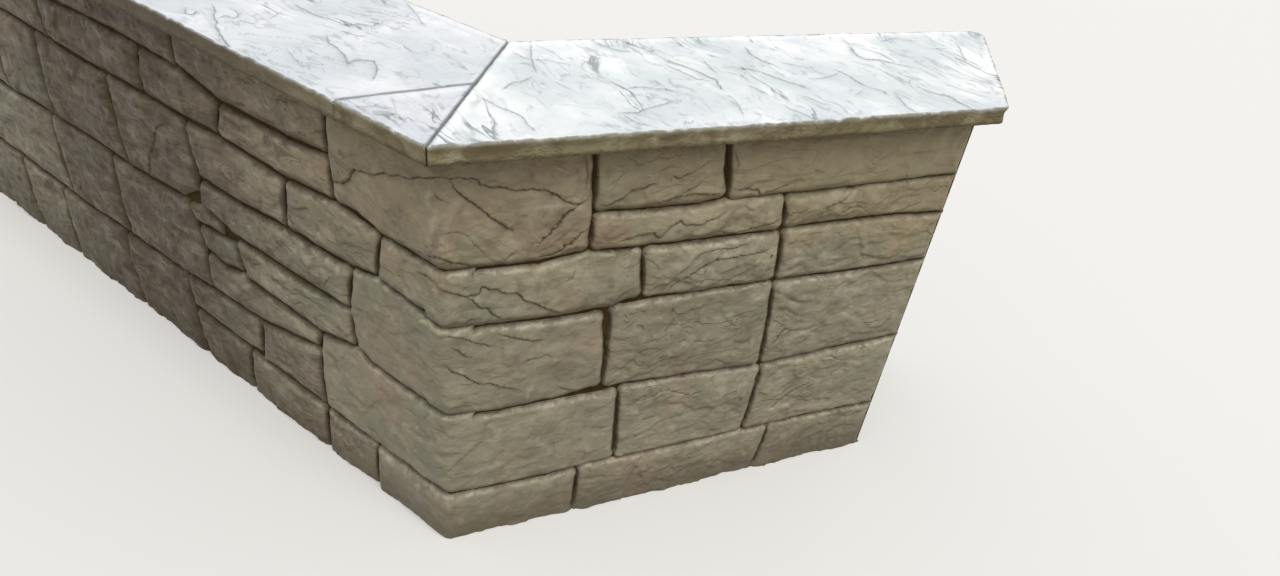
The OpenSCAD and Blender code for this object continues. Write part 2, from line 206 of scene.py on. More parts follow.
# %% Sky and sun
world = bpy.data.worlds.new("sky")
world.use_nodes = True
bpy.context.scene.world = world
sky_lit = {"Color": (0.95, 0.97, 0.98, 1), "Strength": 0.56}
sky_seen = {"Color": (0.86, 0.87, 0.88, 1)}
sky_kind, sky_target = "ShaderNodeBackground", "ShaderNodeOutputWorld"
two_shaders(world.node_tree, sky_kind, sky_lit, sky_seen, sky_target)

sun_data = bpy.data.lights.new("sun", "SUN")
sun_data.energy = 2.05
sun_data.angle = math.radians(34)
sun_data.color = (1.0, 0.985, 0.96)
sun = put("sun", sun_data)
sun.rotation_mode = "QUATERNION"
sun.rotation_quaternion = Vector((0.03, -0.42, 0.90)).to_track_quat("Z", "Y")
print("sky", len(world.node_tree.nodes), "nodes, sun", round(sun_data.energy, 2))

# %% Floor
floor_mesh = bpy.data.meshes.new("floor")
far = 20
corners = [(-far, -far, 0), (far, -far, 0), (far, far, 0), (-far, far, 0)]
floor_mesh.from_pydata(corners, [], [(0, 1, 2, 3)])
floor = put("floor", floor_mesh)
floor.location.z = -0.0006
floor_mat = bpy.data.materials.new("floor")
floor_mat.use_nodes = True
floor_lit, floor_seen = {"Color": (0.42, 0.38, 0.32, 1)}, {"Color": (0.80, 0.79, 0.77, 1)}
floor_kind, floor_target = "ShaderNodeBsdfDiffuse", "ShaderNodeOutputMaterial"
two_shaders(floor_mat.node_tree, floor_kind, floor_lit, floor_seen, floor_target)
floor_mesh.materials.append(floor_mat)
bpy.context.scene.view_settings.view_transform = "Standard"
print("floor", far * 2, "m wide,", len(floor_mat.node_tree.nodes), "nodes")

# %% [markdown]
# ## Unrolling the wall
# Carving is easiest on paper: we unroll each side of the wall to a flat sheet,
# work there with a distance along and a height, and roll it back on. The back
# and the end of the wall are flat, so that is only a turn. The front goes
# round the corner on a small radius, and there the distance along becomes an
# angle. Distances are negative on the left wing and positive on the right.

# %% The plan of the wall
turn = math.radians(58)
wall = 0.280
wall_top_mm = 775
wall_top = wall_top_mm / 1000
left_end = 1.922
corner = np.array([-wall / 2 * math.tan(turn / 2), -wall / 2])
right_along = np.array([1.0, 0.0])
right_out = np.array([0.0, -1.0])
left_along = np.array([-math.cos(turn), math.sin(turn)])
left_out = np.array([-math.sin(turn), -math.cos(turn)])
print("front corner of the plan", np.round(corner, 4).tolist())

# %% A flat side
class FlatSide:
    """A flat side of the wall: where it starts, its way along and its way out."""

    limit = 0.85

    def __init__(self, start, along, out):
        self.start, self.along, self.out = start, along, out

    def faces_out(self, normals):
        return normals[:, :2] @ self.out

    def unroll(self, co):
        return np.stack([(co[:, :2] - self.start) @ self.along, co[:, 2]], 1)

    def place(self, flat, rise):
        plan = self.start + flat[:, :1] * self.along + rise[:, None] * self.out
        return np.column_stack([plan, flat[:, 1]])


# %% The front, bent round the corner
class BentSide(FlatSide):
    """The front of both wings, with the upright arris between them."""

    limit = 0.80
    radius = 0.026
    arc = radius * turn / 2

    def __init__(self):
        self.out = (right_out + left_out) / np.linalg.norm(right_out + left_out)
        self.start = corner - self.out * self.radius / math.cos(turn / 2)

    def unroll(self, co):
        v = co[:, :2] - self.start
        right, left = v @ right_along, v @ left_along
        across = np.array([-self.out[1], self.out[0]])
        bent = np.arctan2(v @ across, v @ self.out) * self.radius
        s = np.where(left > 0, -self.arc - left, bent)
        s = np.where(right > 0, self.arc + right, s)
        return np.stack([s, co[:, 2]], 1)

    def place(self, flat, rise):
        s = flat[:, 0]
        middle = math.atan2(self.out[1], self.out[0])
        angle = np.clip(s, -self.arc, self.arc) / self.radius + middle
        way = np.stack([np.cos(angle), np.sin(angle)], 1)
        past_right = np.maximum(s - self.arc, 0)[:, None] * right_along
        past_left = np.maximum(-s - self.arc, 0)[:, None] * left_along
        plan = self.start + way * (self.radius + rise)[:, None] + past_right + past_left
        return np.column_stack([plan, flat[:, 1]])


# %% The four sides
def on_left(along, inwards):
    return corner + along * left_along - inwards * left_out


front = BentSide()
back_right = FlatSide(corner - wall * right_out, right_along, -right_out)
back_left = FlatSide(on_left(0, wall), left_along, -left_out)
end_side = FlatSide(on_left(left_end, 0), -left_out, left_along)
check = np.array([[-0.3, 0.1], [0.005, 0.2], [0.4, 0.3]])
check = front.unroll(front.place(check, np.zeros(3)))
print("unrolled and rolled back:", np.round(check, 4).tolist())

# %% [markdown]
# ## Reading the blocks' outlines
# Every moulded block is a CAD solid already. Its outline is the rim of the
# faces that look outwards. We weld the solid's points, keep those faces, and
# the edges that only one of them uses form the rim. Following them from point
# to point gives one closed loop for each block.

# %% Outlines of a node
def rims(node, side):
    """One closed loop of (along, height) for each block of a CAD node."""
    mesh = nodes[node].data
    co = np.empty(len(mesh.vertices) * 3)
    mesh.vertices.foreach_get("co", co)
    co = co.reshape(-1, 3)
    cells = np.round(co / 2e-5).astype(int)
    _, first, weld = np.unique(cells, axis=0, return_index=True, return_inverse=True)
    co = co[first]
    mesh.calc_loop_triangles()
    tri = np.empty(len(mesh.loop_triangles) * 3, int)
    mesh.loop_triangles.foreach_get("vertices", tri)
    tri = weld.ravel()[tri].reshape(-1, 3)
    normal = np.cross(co[tri[:, 1]] - co[tri[:, 0]], co[tri[:, 2]] - co[tri[:, 0]])
    size = np.linalg.norm(normal, axis=1)
    real = size > 1e-12
    tri, normal = tri[real], normal[real] / size[real, None]
    tri = tri[side.faces_out(normal) > side.limit]
    edges = {(a, b) for t in tri.tolist() for a, b in zip(t, (t[1], t[2], t[0]))}
    following = {a: b for a, b in edges if (b, a) not in edges}
    flat = side.unroll(co)
    loops = []
    while following:
        start, here = following.popitem()
        loop = [start]
        while here != start:
            loop.append(here)
            here = following.pop(here)
        loops.append(flat[loop])
    return loops


sample = rims("corner_1", front)
print("corner_1 has", len(sample), "outline of", len(sample[0]), "points")

# %% [markdown]
# ## Filling an outline with points
# To carve a face it needs many small triangles, but in good order: an even
# rim, a few rows that follow the rim so that its rounding comes out clean,
# and an even grid inside. Where a crack runs, points lie on the crack itself
# and close beside it. Blender's Delaunay triangulation then joins them all.

# %% Distances
def distance(points, a, b):
    """From each point: how far the nearest line a to b is, on which side, and its number."""
    near, side = np.empty(len(points)), np.empty(len(points))
    which = np.empty(len(points), int)
    way = b - a
    length2 = np.maximum((way**2).sum(1), 1e-12)
    at_once = 3000
    for i in range(0, len(points), at_once):
        part = slice(i, i + at_once)
        p = points[part, None] - a
        t = np.clip((p * way).sum(2) / length2, 0, 1)
        off = p - t[..., None] * way
        d2 = (off**2).sum(2)
        k = d2.argmin(1)
        rows = np.arange(len(k))
        off, d2 = off[rows, k], d2[rows, k]
        near[part], which[part] = np.sqrt(d2), k
        turned = way[k, 0] * off[:, 1] - way[k, 1] * off[:, 0]
        side[part] = turned / np.maximum(np.sqrt(length2[k] * d2), 1e-12)
    return near, side, which


def from_loop(points, loop):
    return distance(points, loop, np.roll(loop, -1, 0))


def inside(points, loop):
    hit = np.zeros(len(points), bool)
    for (ax, ay), (bx, by) in zip(loop, np.roll(loop, -1, 0)):
        if ay != by:
            crosses = (ay > points[:, 1]) != (by > points[:, 1])
            hit ^= crosses & (points[:, 0] < (bx - ax) * (points[:, 1] - ay) / (by - ay) + ax)
    return hit


place, start, end = (np.array([p]) for p in ((0.2, 0.3), (0.0, 0.0), (1.0, 0.0)))
print("distance of a place from a line", distance(place, start, end)[0][0])

# %% Even steps
def spaced(line, step, closed=False):
    """A line drawn again with even steps."""
    pts = np.vstack([line, line[:1]]) if closed else np.asarray(line, float)
    run = np.r_[0, np.cumsum(np.linalg.norm(np.diff(pts, axis=0), axis=1))]
    n = max(2, round(run[-1] / step))
    at = np.linspace(0, run[-1], n + 1)
    at = at[:-1] if closed else at
    return np.stack([np.interp(at, run, pts[:, 0]), np.interp(at, run, pts[:, 1])], 1)


def even_rim(rim, step):
    """A closed rim with even steps that runs anticlockwise."""
    after = np.roll(rim, -1, 0)
    area = (rim[:, 0] * after[:, 1] - rim[:, 1] * after[:, 0]).sum()
    return spaced(rim if area > 0 else rim[::-1], step, closed=True)


def inward_of(loop):
    """At each point of an anticlockwise loop, the way into it."""
    way = np.roll(loop, -1, 0) - np.roll(loop, 1, 0)
    return np.stack([-way[:, 1], way[:, 0]], 1) / np.linalg.norm(way, axis=1)[:, None]


def ends_of(clefts):
    """The short straight lines that clefts are made of, as two lists of ends."""
    lines = [line for _, line in clefts]
    return np.vstack([x[:-1] for x in lines]), np.vstack([x[1:] for x in lines])


coarse = 0.010
sample_rim = even_rim(sample[0], coarse)
print("the same outline in even steps:", len(sample_rim), "points")

# %% Triangles that fill a loop
def triangles(loop, step, rows, clefts, beside):
    """Points and triangles that fill a loop. The loop's own points come first."""
    n = len(loop)
    inward = inward_of(loop)
    extra = []
    for r in rows:
        ring = loop + inward * r
        near = from_loop(ring, loop)[0]
        extra.append(ring[(near > 0.9 * r) & inside(ring, loop)])
    low, high = loop.min(0), loop.max(0)
    xs = np.arange(low[0], high[0], step)
    ys = np.arange(low[1], high[1], step * 0.866)
    gx, gy = np.meshgrid(xs, ys)
    gx[1::2] += step / 2
    grid = np.stack([gx.ravel(), gy.ravel()], 1)
    grid = grid[inside(grid, loop)]
    grid = grid[from_loop(grid, loop)[0] > rows[-1] + 0.6 * step]
    if clefts:
        a, b = ends_of(clefts)
        grid = grid[distance(grid, a, b)[0] > beside + 0.5 * step]
        extra = [e[distance(e, a, b)[0] > beside + 0.3 * step] for e in extra]
        for _, line in clefts:
            w = np.gradient(line, axis=0)
            length = np.maximum(np.linalg.norm(w, axis=1), 1e-9)
            w = np.stack([-w[:, 1], w[:, 0]], 1) / length[:, None]
            extra += [line, line + w * beside, line - w * beside]
    pts = np.vstack([loop, *extra, grid])
    rim = [(i, (i + 1) % n) for i in range(n)]
    out = delaunay_2d_cdt([Vector(p) for p in pts], rim, [], 1, 1e-6)
    co = np.array([tuple(v) for v in out[0]])
    back = {i: k for k, ids in enumerate(out[3]) for i in ids}
    return co, [tuple(f) for f in out[2]], [back[i] for i in range(n)]


filled = triangles(sample_rim, coarse, (coarse / 2,), [], 0)
print("filled with", len(filled[0]), "points and", len(filled[1]), "triangles")

# %% [markdown]
# ## Carving
# The height of a face above its flat sheet is one sum: the rounding towards
# the rim, a low crown, soft swells, the tilted planes of split stone, and the
# cracks. A Displace modifier could push the points out by a texture, but
# a sum in Python can also know how far the rim and the nearest crack are. Each
# term is a function of place, so a block looks the same however many triangles
# it has. The first two helpers make smooth noise and planes that lean; the
# third lays a pattern that flows one way, and the fourth cuts it into layers.

# %% Noise for carving
def swell(flat, size, seed, octaves=3):
    """Smooth noise, about -1 to 1, for features of a given size in metres."""
    k = 1 / size
    places = [Vector((x * k, y * k, seed)) for x, y in flat]
    return np.array([noise.fractal(p, 1.0, 2.0, octaves) for p in places])


def splits(flat, size, seed):
    """Tilted planes as left by splitting stone: each cell leans its own way."""
    out = np.empty(len(flat))
    for i, (x, y) in enumerate(flat):
        p = noise.voronoi(Vector((x / size, y / size, seed)))[1][0]
        lean = noise.cell_vector(p * 7.3)
        across, up = (x / size - p.x) * (lean.x - 0.5), (y / size - p.y) * (lean.y - 0.5)
        out[i] = across + up + 0.6 * (lean.z - 0.5)
    return out


def flowing(flat, way, seed):
    """Places along and across the way the pattern flows, bent by slow noise."""
    c, s = math.cos(way), math.sin(way)
    run = np.stack([flat[:, 0] * c + flat[:, 1] * s, flat[:, 1] * c - flat[:, 0] * s], 1)
    run[:, 1] += 0.035 * swell(flat, 0.16, seed + 4, 2)
    run[:, 0] += 0.03 * swell(flat, 0.12, seed + 8, 1)
    return run * np.array([0.33, 1.0])


def ledges(flat, way, size, seed):
    """Thin sheets that broke off: the level of each place, and how near a ledge is."""
    f = 1.9 * swell(flowing(flat, way, seed), size, seed, 4)
    f = f + 0.8 * swell(flat, 5 * size, seed + 6, 1)
    whole = np.floor(f)
    down = np.clip((f - whole - 0.76) / 0.24, 0, 1)
    return whole + down, 4 * down * (1 - down)


print("noise on the outline", np.round(swell(sample_rim, 0.1, 0.0)[:5], 2).tolist())

# %% Height of a block's face
def face_height(flat, edge, up, cleft, middle, half, rough, soft, way, seed):
    """Rise of a face above the wall's plane, in metres, and how much painted shade lies at its
    ledges.
    """
    tight, wide, crown = 0.0030 + 0.0016 * soft, 0.0020 + 0.0010 * soft, 0.0034
    hollow, plane, chip, layer = 0.0036, 0.0050, 0.0026, 0.0024
    reach = soft * (0.0105 - 0.0035 * up) * (1 + 0.5 * swell(flat, 0.045, seed + 3.1, 2))
    t = np.clip(edge / np.clip(reach, 0.0035, 0.018 * soft), 0, 1)
    rise = -tight * (1 - t) ** 2.1
    rise -= wide * (1 - np.clip(edge / (0.020 + 0.006 * soft), 0, 1)) ** 2
    rise -= crown * ((flat[:, 1] - middle) / half) ** 2
    bend = [swell(flat, 0.08, seed + 9, 1), swell(flat, 0.08, seed + 5, 1)]
    warp = flat + 0.02 * np.stack(bend, 1)
    calm = np.clip(edge / 0.018, 0.2, 1)
    rise += calm * hollow * swell(flat, 0.11, seed, 2)
    rise += calm * (plane * splits(warp, 0.10, seed) + chip * splits(warp, 0.042, seed + 17))
    level, ledge_shade = ledges(warp, way, 0.052, seed + 13)
    rise += calm * rough * layer * np.clip(level, -2, 2)
    rise -= calm * rough * layer * (1 - np.abs(swell(warp, 0.05, seed + 11, 2))) ** 6
    rise += 0.0009 * swell(warp, 0.018, seed + 7, 3)
    rise += 0.0008 * cleft["deep"] * cleft["side"] * np.exp(-cleft["far"] / 0.024) * calm
    rise -= 0.001 * cleft["deep"] * cleft["in"]
    return rise, ledge_shade * rough * calm


# %% [markdown]
# ## The cracks
# The moulds were made from hewn stone, and thin clefts run over the blocks.
# Those round the corner were traced on the real wall. Each is a depth
# in tenths of a millimetre and a line of places: millimetres along the wall
# from the corner (left is negative) and below the coping. Other blocks get
# clefts from a seeded random walk, which comes out the same at every run.

# %% Traced cracks
front_cracks = [
    (26, [(-232, 140), (-214, 128), (-200, 127), (-183, 111), (-169, 90), (-153, 86), (-140, 83),
          (-128, 83), (-108, 71), (-91, 69), (-77, 62), (-54, 58), (-38, 50), (-25, 47),
          (-11, 40), (6, 36), (15, 41), (24, 38), (37, 42), (51, 42), (56, 50), (69, 56),
          (84, 57), (100, 62), (113, 64), (131, 65), (147, 67), (160, 76), (173, 87), (185, 92),
          (200, 92), (210, 85), (215, 83)]),
    (26, [(15, 41), (20, 51), (29, 63), (41, 75), (54, 86), (65, 98), (77, 110), (89, 119),
          (101, 130)]),
    (24, [(200, 92), (190, 99), (180, 107), (172, 116), (169, 124), (159, 137), (149, 148),
          (143, 154), (133, 155)]),
    (22, [(217, 141), (204, 145), (196, 154), (190, 163), (182, 164), (176, 175), (164, 181),
          (146, 180), (136, 184)]),
    (14, [(-18, 52), (-14, 57), (-6, 67), (3, 70), (11, 73)]),
    (20, [(-55, 169), (-23, 169), (-6, 162), (9, 167), (26, 175), (46, 183), (62, 184)]),
    (8, [(36, 129), (50, 147), (62, 165), (72, 176)]),
    (7, [(0, 124), (19, 120), (31, 124), (41, 133), (50, 145)]),
    (7, [(-126, 126), (-106, 133), (-89, 141), (-76, 151)]),
    (16, [(203, 22), (205, 40), (208, 53), (205, 73)]),
    (10, [(88, 186), (100, 171), (109, 167)]),
    (24, [(-52, 214), (-34, 210), (-17, 210), (-11, 213), (2, 219), (16, 225), (34, 234),
          (46, 231), (54, 231), (58, 219), (70, 225), (81, 226), (87, 234), (102, 236),
          (113, 239), (122, 253), (135, 259), (149, 270), (165, 280), (176, 287), (186, 296)]),
    (18, [(34, 234), (46, 242), (54, 254), (67, 259), (73, 270), (84, 280), (92, 286)]),
    (16, [(29, 283), (40, 277), (50, 274)]),
    (12, [(188, 228), (197, 220), (200, 205)]),
    (12, [(-91, 236), (-79, 246), (-64, 252)]),
    (16, [(-3, 306), (10, 304), (29, 310), (42, 318), (54, 326), (67, 334), (80, 338)]),
    (18, [(84, 314), (102, 320), (120, 328), (136, 334), (154, 336)]),
    (16, [(14, 328), (24, 335), (33, 347), (41, 351)]),
    (22, [(3, 364), (11, 372), (26, 381), (39, 394), (52, 405), (70, 409), (86, 418), (100, 425),
          (119, 434)]),
    (14, [(243, 396), (260, 399)]),
    (14, [(183, 442), (196, 452), (211, 460), (231, 463)]),
    (9, [(127, 374), (146, 374), (164, 370), (178, 377)]),
    (16, [(-130, 334), (-120, 330)]),
    (12, [(-35, 407), (-22, 405)]),
    (22, [(233, 103), (242, 103), (255, 98), (265, 93), (273, 84), (283, 80), (294, 78),
          (304, 72), (313, 72)]),
    (18, [(335, 67), (338, 60), (346, 67), (359, 61), (367, 58), (376, 53), (386, 45), (397, 41),
          (406, 36)]),
    (20, [(301, 115), (323, 108), (336, 104), (349, 101), (362, 98), (381, 97), (400, 100),
          (415, 101)]),
    (10, [(349, 104), (363, 91), (381, 83), (394, 68)]),
    (20, [(271, 168), (286, 165), (304, 162), (323, 161), (332, 173), (338, 172), (343, 157),
          (352, 151), (365, 145), (373, 151), (395, 153), (409, 147), (423, 145), (444, 139)]),
    (18, [(438, 174), (465, 183), (502, 174), (521, 169), (543, 163)]),
    (16, [(392, 221), (400, 212), (415, 208), (431, 205), (444, 204), (467, 207), (495, 203)]),
    (18, [(362, 283), (374, 265), (390, 253), (412, 238), (428, 229), (448, 224), (473, 224),
          (500, 224), (533, 222)]),
    (20, [(448, 97), (461, 100), (473, 99), (494, 104), (498, 114), (517, 109), (533, 100),
          (548, 99)]),
    (14, [(437, 32), (446, 53), (444, 67)]),
    (16, [(-826, 368), (-802, 344), (-790, 320), (-770, 295), (-747, 247), (-728, 229),
          (-711, 218), (-688, 208)]),
    (10, [(-491, 229), (-476, 234), (-457, 233)]),
    (12, [(-458, 89), (-446, 87), (-423, 82)]),
    (12, [(-384, 94), (-364, 90), (-369, 97)]),
    (10, [(-562, 68), (-551, 78), (-530, 81)]),
    (10, [(-443, 424), (-426, 414), (-407, 404)]),
    (8, [(-522, 421), (-487, 412), (-460, 396)]),
    (10, [(-277, 346), (-254, 317)]),
    (9, [(-499, 509), (-486, 530)]),
    (14, [(-1019, 663), (-960, 640), (-905, 623)]),
    (8, [(-501, 592), (-465, 589), (-451, 608)]),
]

known = [
    (tenths / 10, np.array([(along / 1000, wall_top - down / 1000) for along, down in line]))
    for tenths, line in front_cracks
]
print("traced cracks", len(known))

# %% Traced cracks on one block
def traced(clefts, rim, step, rng):
    """The parts of known clefts that lie on a block, drawn again with a little jag."""
    kept = []
    for deep, line in clefts:
        pts = spaced(line, step)
        pts[1:-1] += rng.normal(0, 0.0006, (len(pts) - 2, 2))
        good = inside(pts, rim) & (from_loop(pts, rim)[0] > 0.0035)
        run = []
        for p, ok in zip([*pts, None], [*good, False]):
            if ok:
                run.append(p)
                continue
            if len(run) > 2:
                kept.append((deep, np.array(run)))
            run = []
    return kept


found = traced(known, sample_rim, coarse, np.random.default_rng(0))
print("on corner_1 lie", len(found), "of them")

# %% Cracks of the other blocks
def wandering(rim, step, rng):
    """A made cleft: it starts near the rim, wanders across and dies out."""
    low, high = rim.min(0), rim.max(0)
    line = [low + (high - low) * rng.uniform(0.12, 0.88, 2)]
    way = rng.uniform(-0.9, 0.9) + (math.pi if rng.random() < 0.5 else 0)
    for _ in range(rng.integers(5, 14)):
        way += rng.normal(0, 0.45)
        line.append(line[-1] + 0.014 * np.array([math.cos(way), 0.75 * math.sin(way)]))
    return traced([(rng.uniform(0.8, 2.2), np.array(line))], rim, step, rng)


def cleft_numbers(flat, clefts, wide):
    """Each point's nearest cleft: how far, on which side, how deep in mm, and if it is in it."""
    if not clefts:
        none = np.zeros(len(flat))
        return {"far": none + 9, "side": none, "deep": none, "in": none}
    deep = []
    for d, line in clefts:
        at = np.arange(len(line) - 1) + 0.5
        deep.append(d * np.clip(np.minimum(at, len(line) - 1 - at) / 3.5, 0.3, 1))
    far, side, which = distance(flat, *ends_of(clefts))
    within = np.clip(1 - far / wide, 0, 1)
    return {"far": far, "side": side, "deep": np.concatenate(deep)[which], "in": within}


def cleft_shade(cleft, full):
    """How much painted shade lies in a cleft at each point; from a depth of `full` mm on it is
    wholly dark.
    """
    return cleft["in"] * np.clip(cleft["deep"] / full, 0, 1)


# %% Smears of lime and painted highlight
# Place along, place below, half length, half width, tilt in degrees, and share
lime_and_highlight_smears = [
    (147, 95, 20, 3, 3, 0.9),
    (35, 94, 12, 3, 0, 0.5),
    (-19, 75, 32, 5, 80, 0.7),
    (-13, 111, 30, 6, 76, 0.8),
    (1, 137, 20, 5, 70, 0.6),
    (-343, 169, 17, 5, 55, 0.9),
    (-580, 147, 5, 4, 0, 0.7),
    (-67, 266, 26, 12, 60, 0.4),
    (489, 79, 12, 5, 0, 0.5),
]


def lime_and_highlight(flat):
    """How much of the traced smears lies on each place."""
    share = np.zeros(len(flat))
    for along, below_cap, length, width, tilt, most in lime_and_highlight_smears:
        off = flat * 1000 - np.array([along, wall_top_mm - below_cap])
        c, s = math.cos(math.radians(tilt)), math.sin(math.radians(tilt))
        u = (off[:, 0] * c + off[:, 1] * s) / length
        v = (off[:, 1] * c - off[:, 0] * s) / width
        share = np.maximum(share, most * np.exp(-(u**2) - v**2))
    return share


print("smears of lime", len(lime_and_highlight_smears))

# %% [markdown]
# ## One piece from the blocks of a node
# Each outline is filled, its points are raised and rolled back onto the wall,
# and a straight side goes down from the rim into the mortar coat. Some numbers
# stay with every point, because the finish needs them later: how far the rim
# is, how much painted shade lies on it from a crack or a ledge, how much of a
# pale smear (partly lime, partly painted highlight) lies on it, a tone for the
# whole block, and where on the unrolled sheet it is. They could be painted by
# hand as vertex colours, but here they are known exactly. A shell gathers the
# points, the faces and these numbers until the mesh is made.

# %% A shell
class Shell:
    """The points and faces of one piece, and the numbers that stay with every point."""

    def __init__(self, *names, flip=False):
        self.verts, self.faces, self.smooth, self.flip = [], [], [], flip
        self.numbers = {name: [] for name in names}

    def add(self, verts, **values):
        """Add points. A number that isn't given is 0. Gives back the first point's place."""
        base = len(self.verts)
        self.verts += verts.tolist()
        for name, kept in self.numbers.items():
            kept += np.broadcast_to(values.get(name, 0.0), len(verts)).tolist()
        return base

    def face(self, loop, smooth=True):
        self.faces.append(tuple(loop)[::-1] if self.flip else tuple(loop))
        self.smooth.append(smooth)

    def fill(self, base, tris):
        for tri in tris:
            self.face([base + i for i in tri])

    def band(self, above, base):
        """Four-sided faces from a loop of points down to the ring that starts at base."""
        ring = [base + i for i in range(len(above))]
        for four in zip(ring, ring[1:] + ring[:1], above[1:] + above[:1], above):
            self.face(four)
        return ring


# %% A piece from a shell
def piece(name, shell, node):
    mesh = bpy.data.meshes.new(name)
    mesh.from_pydata(shell.verts, [], shell.faces)
    mesh.polygons.foreach_set("use_smooth", shell.smooth)
    for key, values in shell.numbers.items():
        kept = mesh.attributes.new(key, "FLOAT", "POINT")
        kept.data.foreach_set("value", np.asarray(values, np.float32))
    obj = put(name, mesh)
    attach(obj, "root")
    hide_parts(node)
    return obj


# %% Rims as moulded
face_top = 0.767
# The sides of a block slope out to its neighbour: how far out, how far down, and at least
# how deep. The last ring lies inside the mortar coat.
skirt = ((0.0006, 0.0016, -0.0075), (0.0013, 0.0040, -0.0112))
skirt_end, in_coat = 0.0026, -0.0145
# Rows of points beside the rim, half the width of a cleft, and how deep it is where dark
stone_rows, stone_cleft, stone_dark = (0.0015, 0.0045, 0.0085), 0.0021, 2.2
# How much of the left wing's marks, stain and painted shade lies on each side: all on the front,
# part round the far end, a little on the back
shown = {front: 1.0, end_side: 0.55}


def grown(rim, out):
    """A rim moved outwards, but not below the ground or into the coping's bed."""
    moved = rim - inward_of(rim) * np.reshape(out, (-1, 1))
    moved[:, 1] = np.clip(moved[:, 1], 0.0, face_top)
    return moved


def ragged(rim, step, out, seed):
    """A rim as moulded: corners less round than the solid's, and ragged by a millimetre."""
    reach = round(0.012 / step)
    around = np.mean([np.roll(rim, k, 0) for k in range(-reach, reach + 1)], 0)
    return grown(rim + 1.7 * (rim - around), out + 0.0016 * swell(rim, 0.03, seed, 3))


def runs_back(side):
    """Whether faces have to be turned over to look outwards on this side."""
    flat = np.array([[0.5, 0.1], [0.501, 0.1], [0.5, 0.1]])
    here, along, out = side.place(flat, np.array([0, 0, 0.001]))
    return np.cross(along - here, [0, 0, 1]) @ (out - here) < 0


print("faces turned over at the front:", runs_back(front), "back:", runs_back(back_right))

# %% Carve the blocks of a node
def carved(node, side, step, lines, rough=0.6, soft=1.0):
    """A node's blocks as one piece with carved faces."""
    rng = np.random.default_rng(sum(map(ord, node)))
    names = ("rim", "crack_shade", "tone", "ledge_shade", "lime_and_highlight", "rough", "front", "run")
    shell = Shell(*names, flip=runs_back(side))
    for rim in rims(node, side):
        rim = ragged(even_rim(rim, step), step, 0.0016 - 0.0010 * soft, rng.uniform(0, 90))
        here = traced(lines, rim, step * 0.8, rng)
        if not here:
            for _ in range(rng.integers(0, 3)):
                here += wandering(rim, step, rng)
        flat, tris, order = triangles(rim, step, stone_rows, here, stone_cleft)
        after = np.roll(rim, -1, 0)
        open_rim = (rim[:, 1] >= 0.002) | (after[:, 1] >= 0.002)
        edge, _, which = distance(flat, rim[open_rim], after[open_rim])
        run = (after - rim)[open_rim]
        up = (-run[:, 0] / np.linalg.norm(run, axis=1))[which]
        cleft = cleft_numbers(flat, here, stone_cleft)
        low, high = rim[:, 1].min(), rim[:, 1].max()
        middle, half, lie = (low + high) / 2, (high - low) / 2, rng.uniform(-0.15, 0.65)
        seed = rng.uniform(0, 90)
        rise, ledge_shade = face_height(flat, edge, up, cleft, middle, half, rough, soft, lie, seed)
        whole = {"tone": rng.uniform(-1, 1), "rough": rough, "front": shown.get(side, 0.2)}
        dark = cleft_shade(cleft, stone_dark)
        white = lime_and_highlight(flat) if side is front else 0.0
        numbers = {"rim": edge, "crack_shade": dark, "ledge_shade": ledge_shade, "lime_and_highlight": white, "run": flat[:, 0]}
        base = shell.add(side.place(flat, rise), **numbers, **whole)
        shell.fill(base, tris)
        above = [base + i for i in order]
        rings = [(out, np.minimum(rise[order] - drop, deep)) for out, drop, deep in skirt]
        for out, sunk in [*rings, (skirt_end, np.full(len(order), in_coat))]:
            ring = grown(rim, out / soft**2)
            above = shell.band(above, shell.add(side.place(ring, sunk), run=ring[:, 0], **whole))
    return piece("carved_" + node, shell, node)


# %% Carve the front of both wings
pieces = {"stone": [], "slab": []}
# How rough the split faces of some blocks are; the others go by their wing
roughness = {"corner_1": 0.3, "corner_2": 0.45, "corner_3": 0.35, "corner_4": 0.35}
roughness |= {"corner_5": 0.45, "blocks_right_1": 0.6}
for name in [n for n in nodes if n.startswith(("corner_", "blocks_")) and n != "blocks_end"]:
    step = 0.006 if name.startswith("blocks_far") else 0.0040
    rough = roughness.get(name, 0.9 if "right" in name else 0.8)
    soft = 1.5 if "left" in name or "far" in name else 1.25 if "corner" in name else 1.0
    pieces["stone"].append(carved(name, front, step, known, rough, soft))
print("front pieces", len(pieces["stone"]))

# %% Carve the back and the far end
for name in [n for n in nodes if n.startswith("back_")]:
    side = back_right if name.startswith("back_right") else back_left
    pieces["stone"].append(carved(name, side, 0.0075, []))
pieces["stone"].append(carved("blocks_end", end_side, 0.0065, []))
counts = [len(o.data.polygons) for o in pieces["stone"]]
print("all block faces", sum(counts), "largest piece", max(counts))
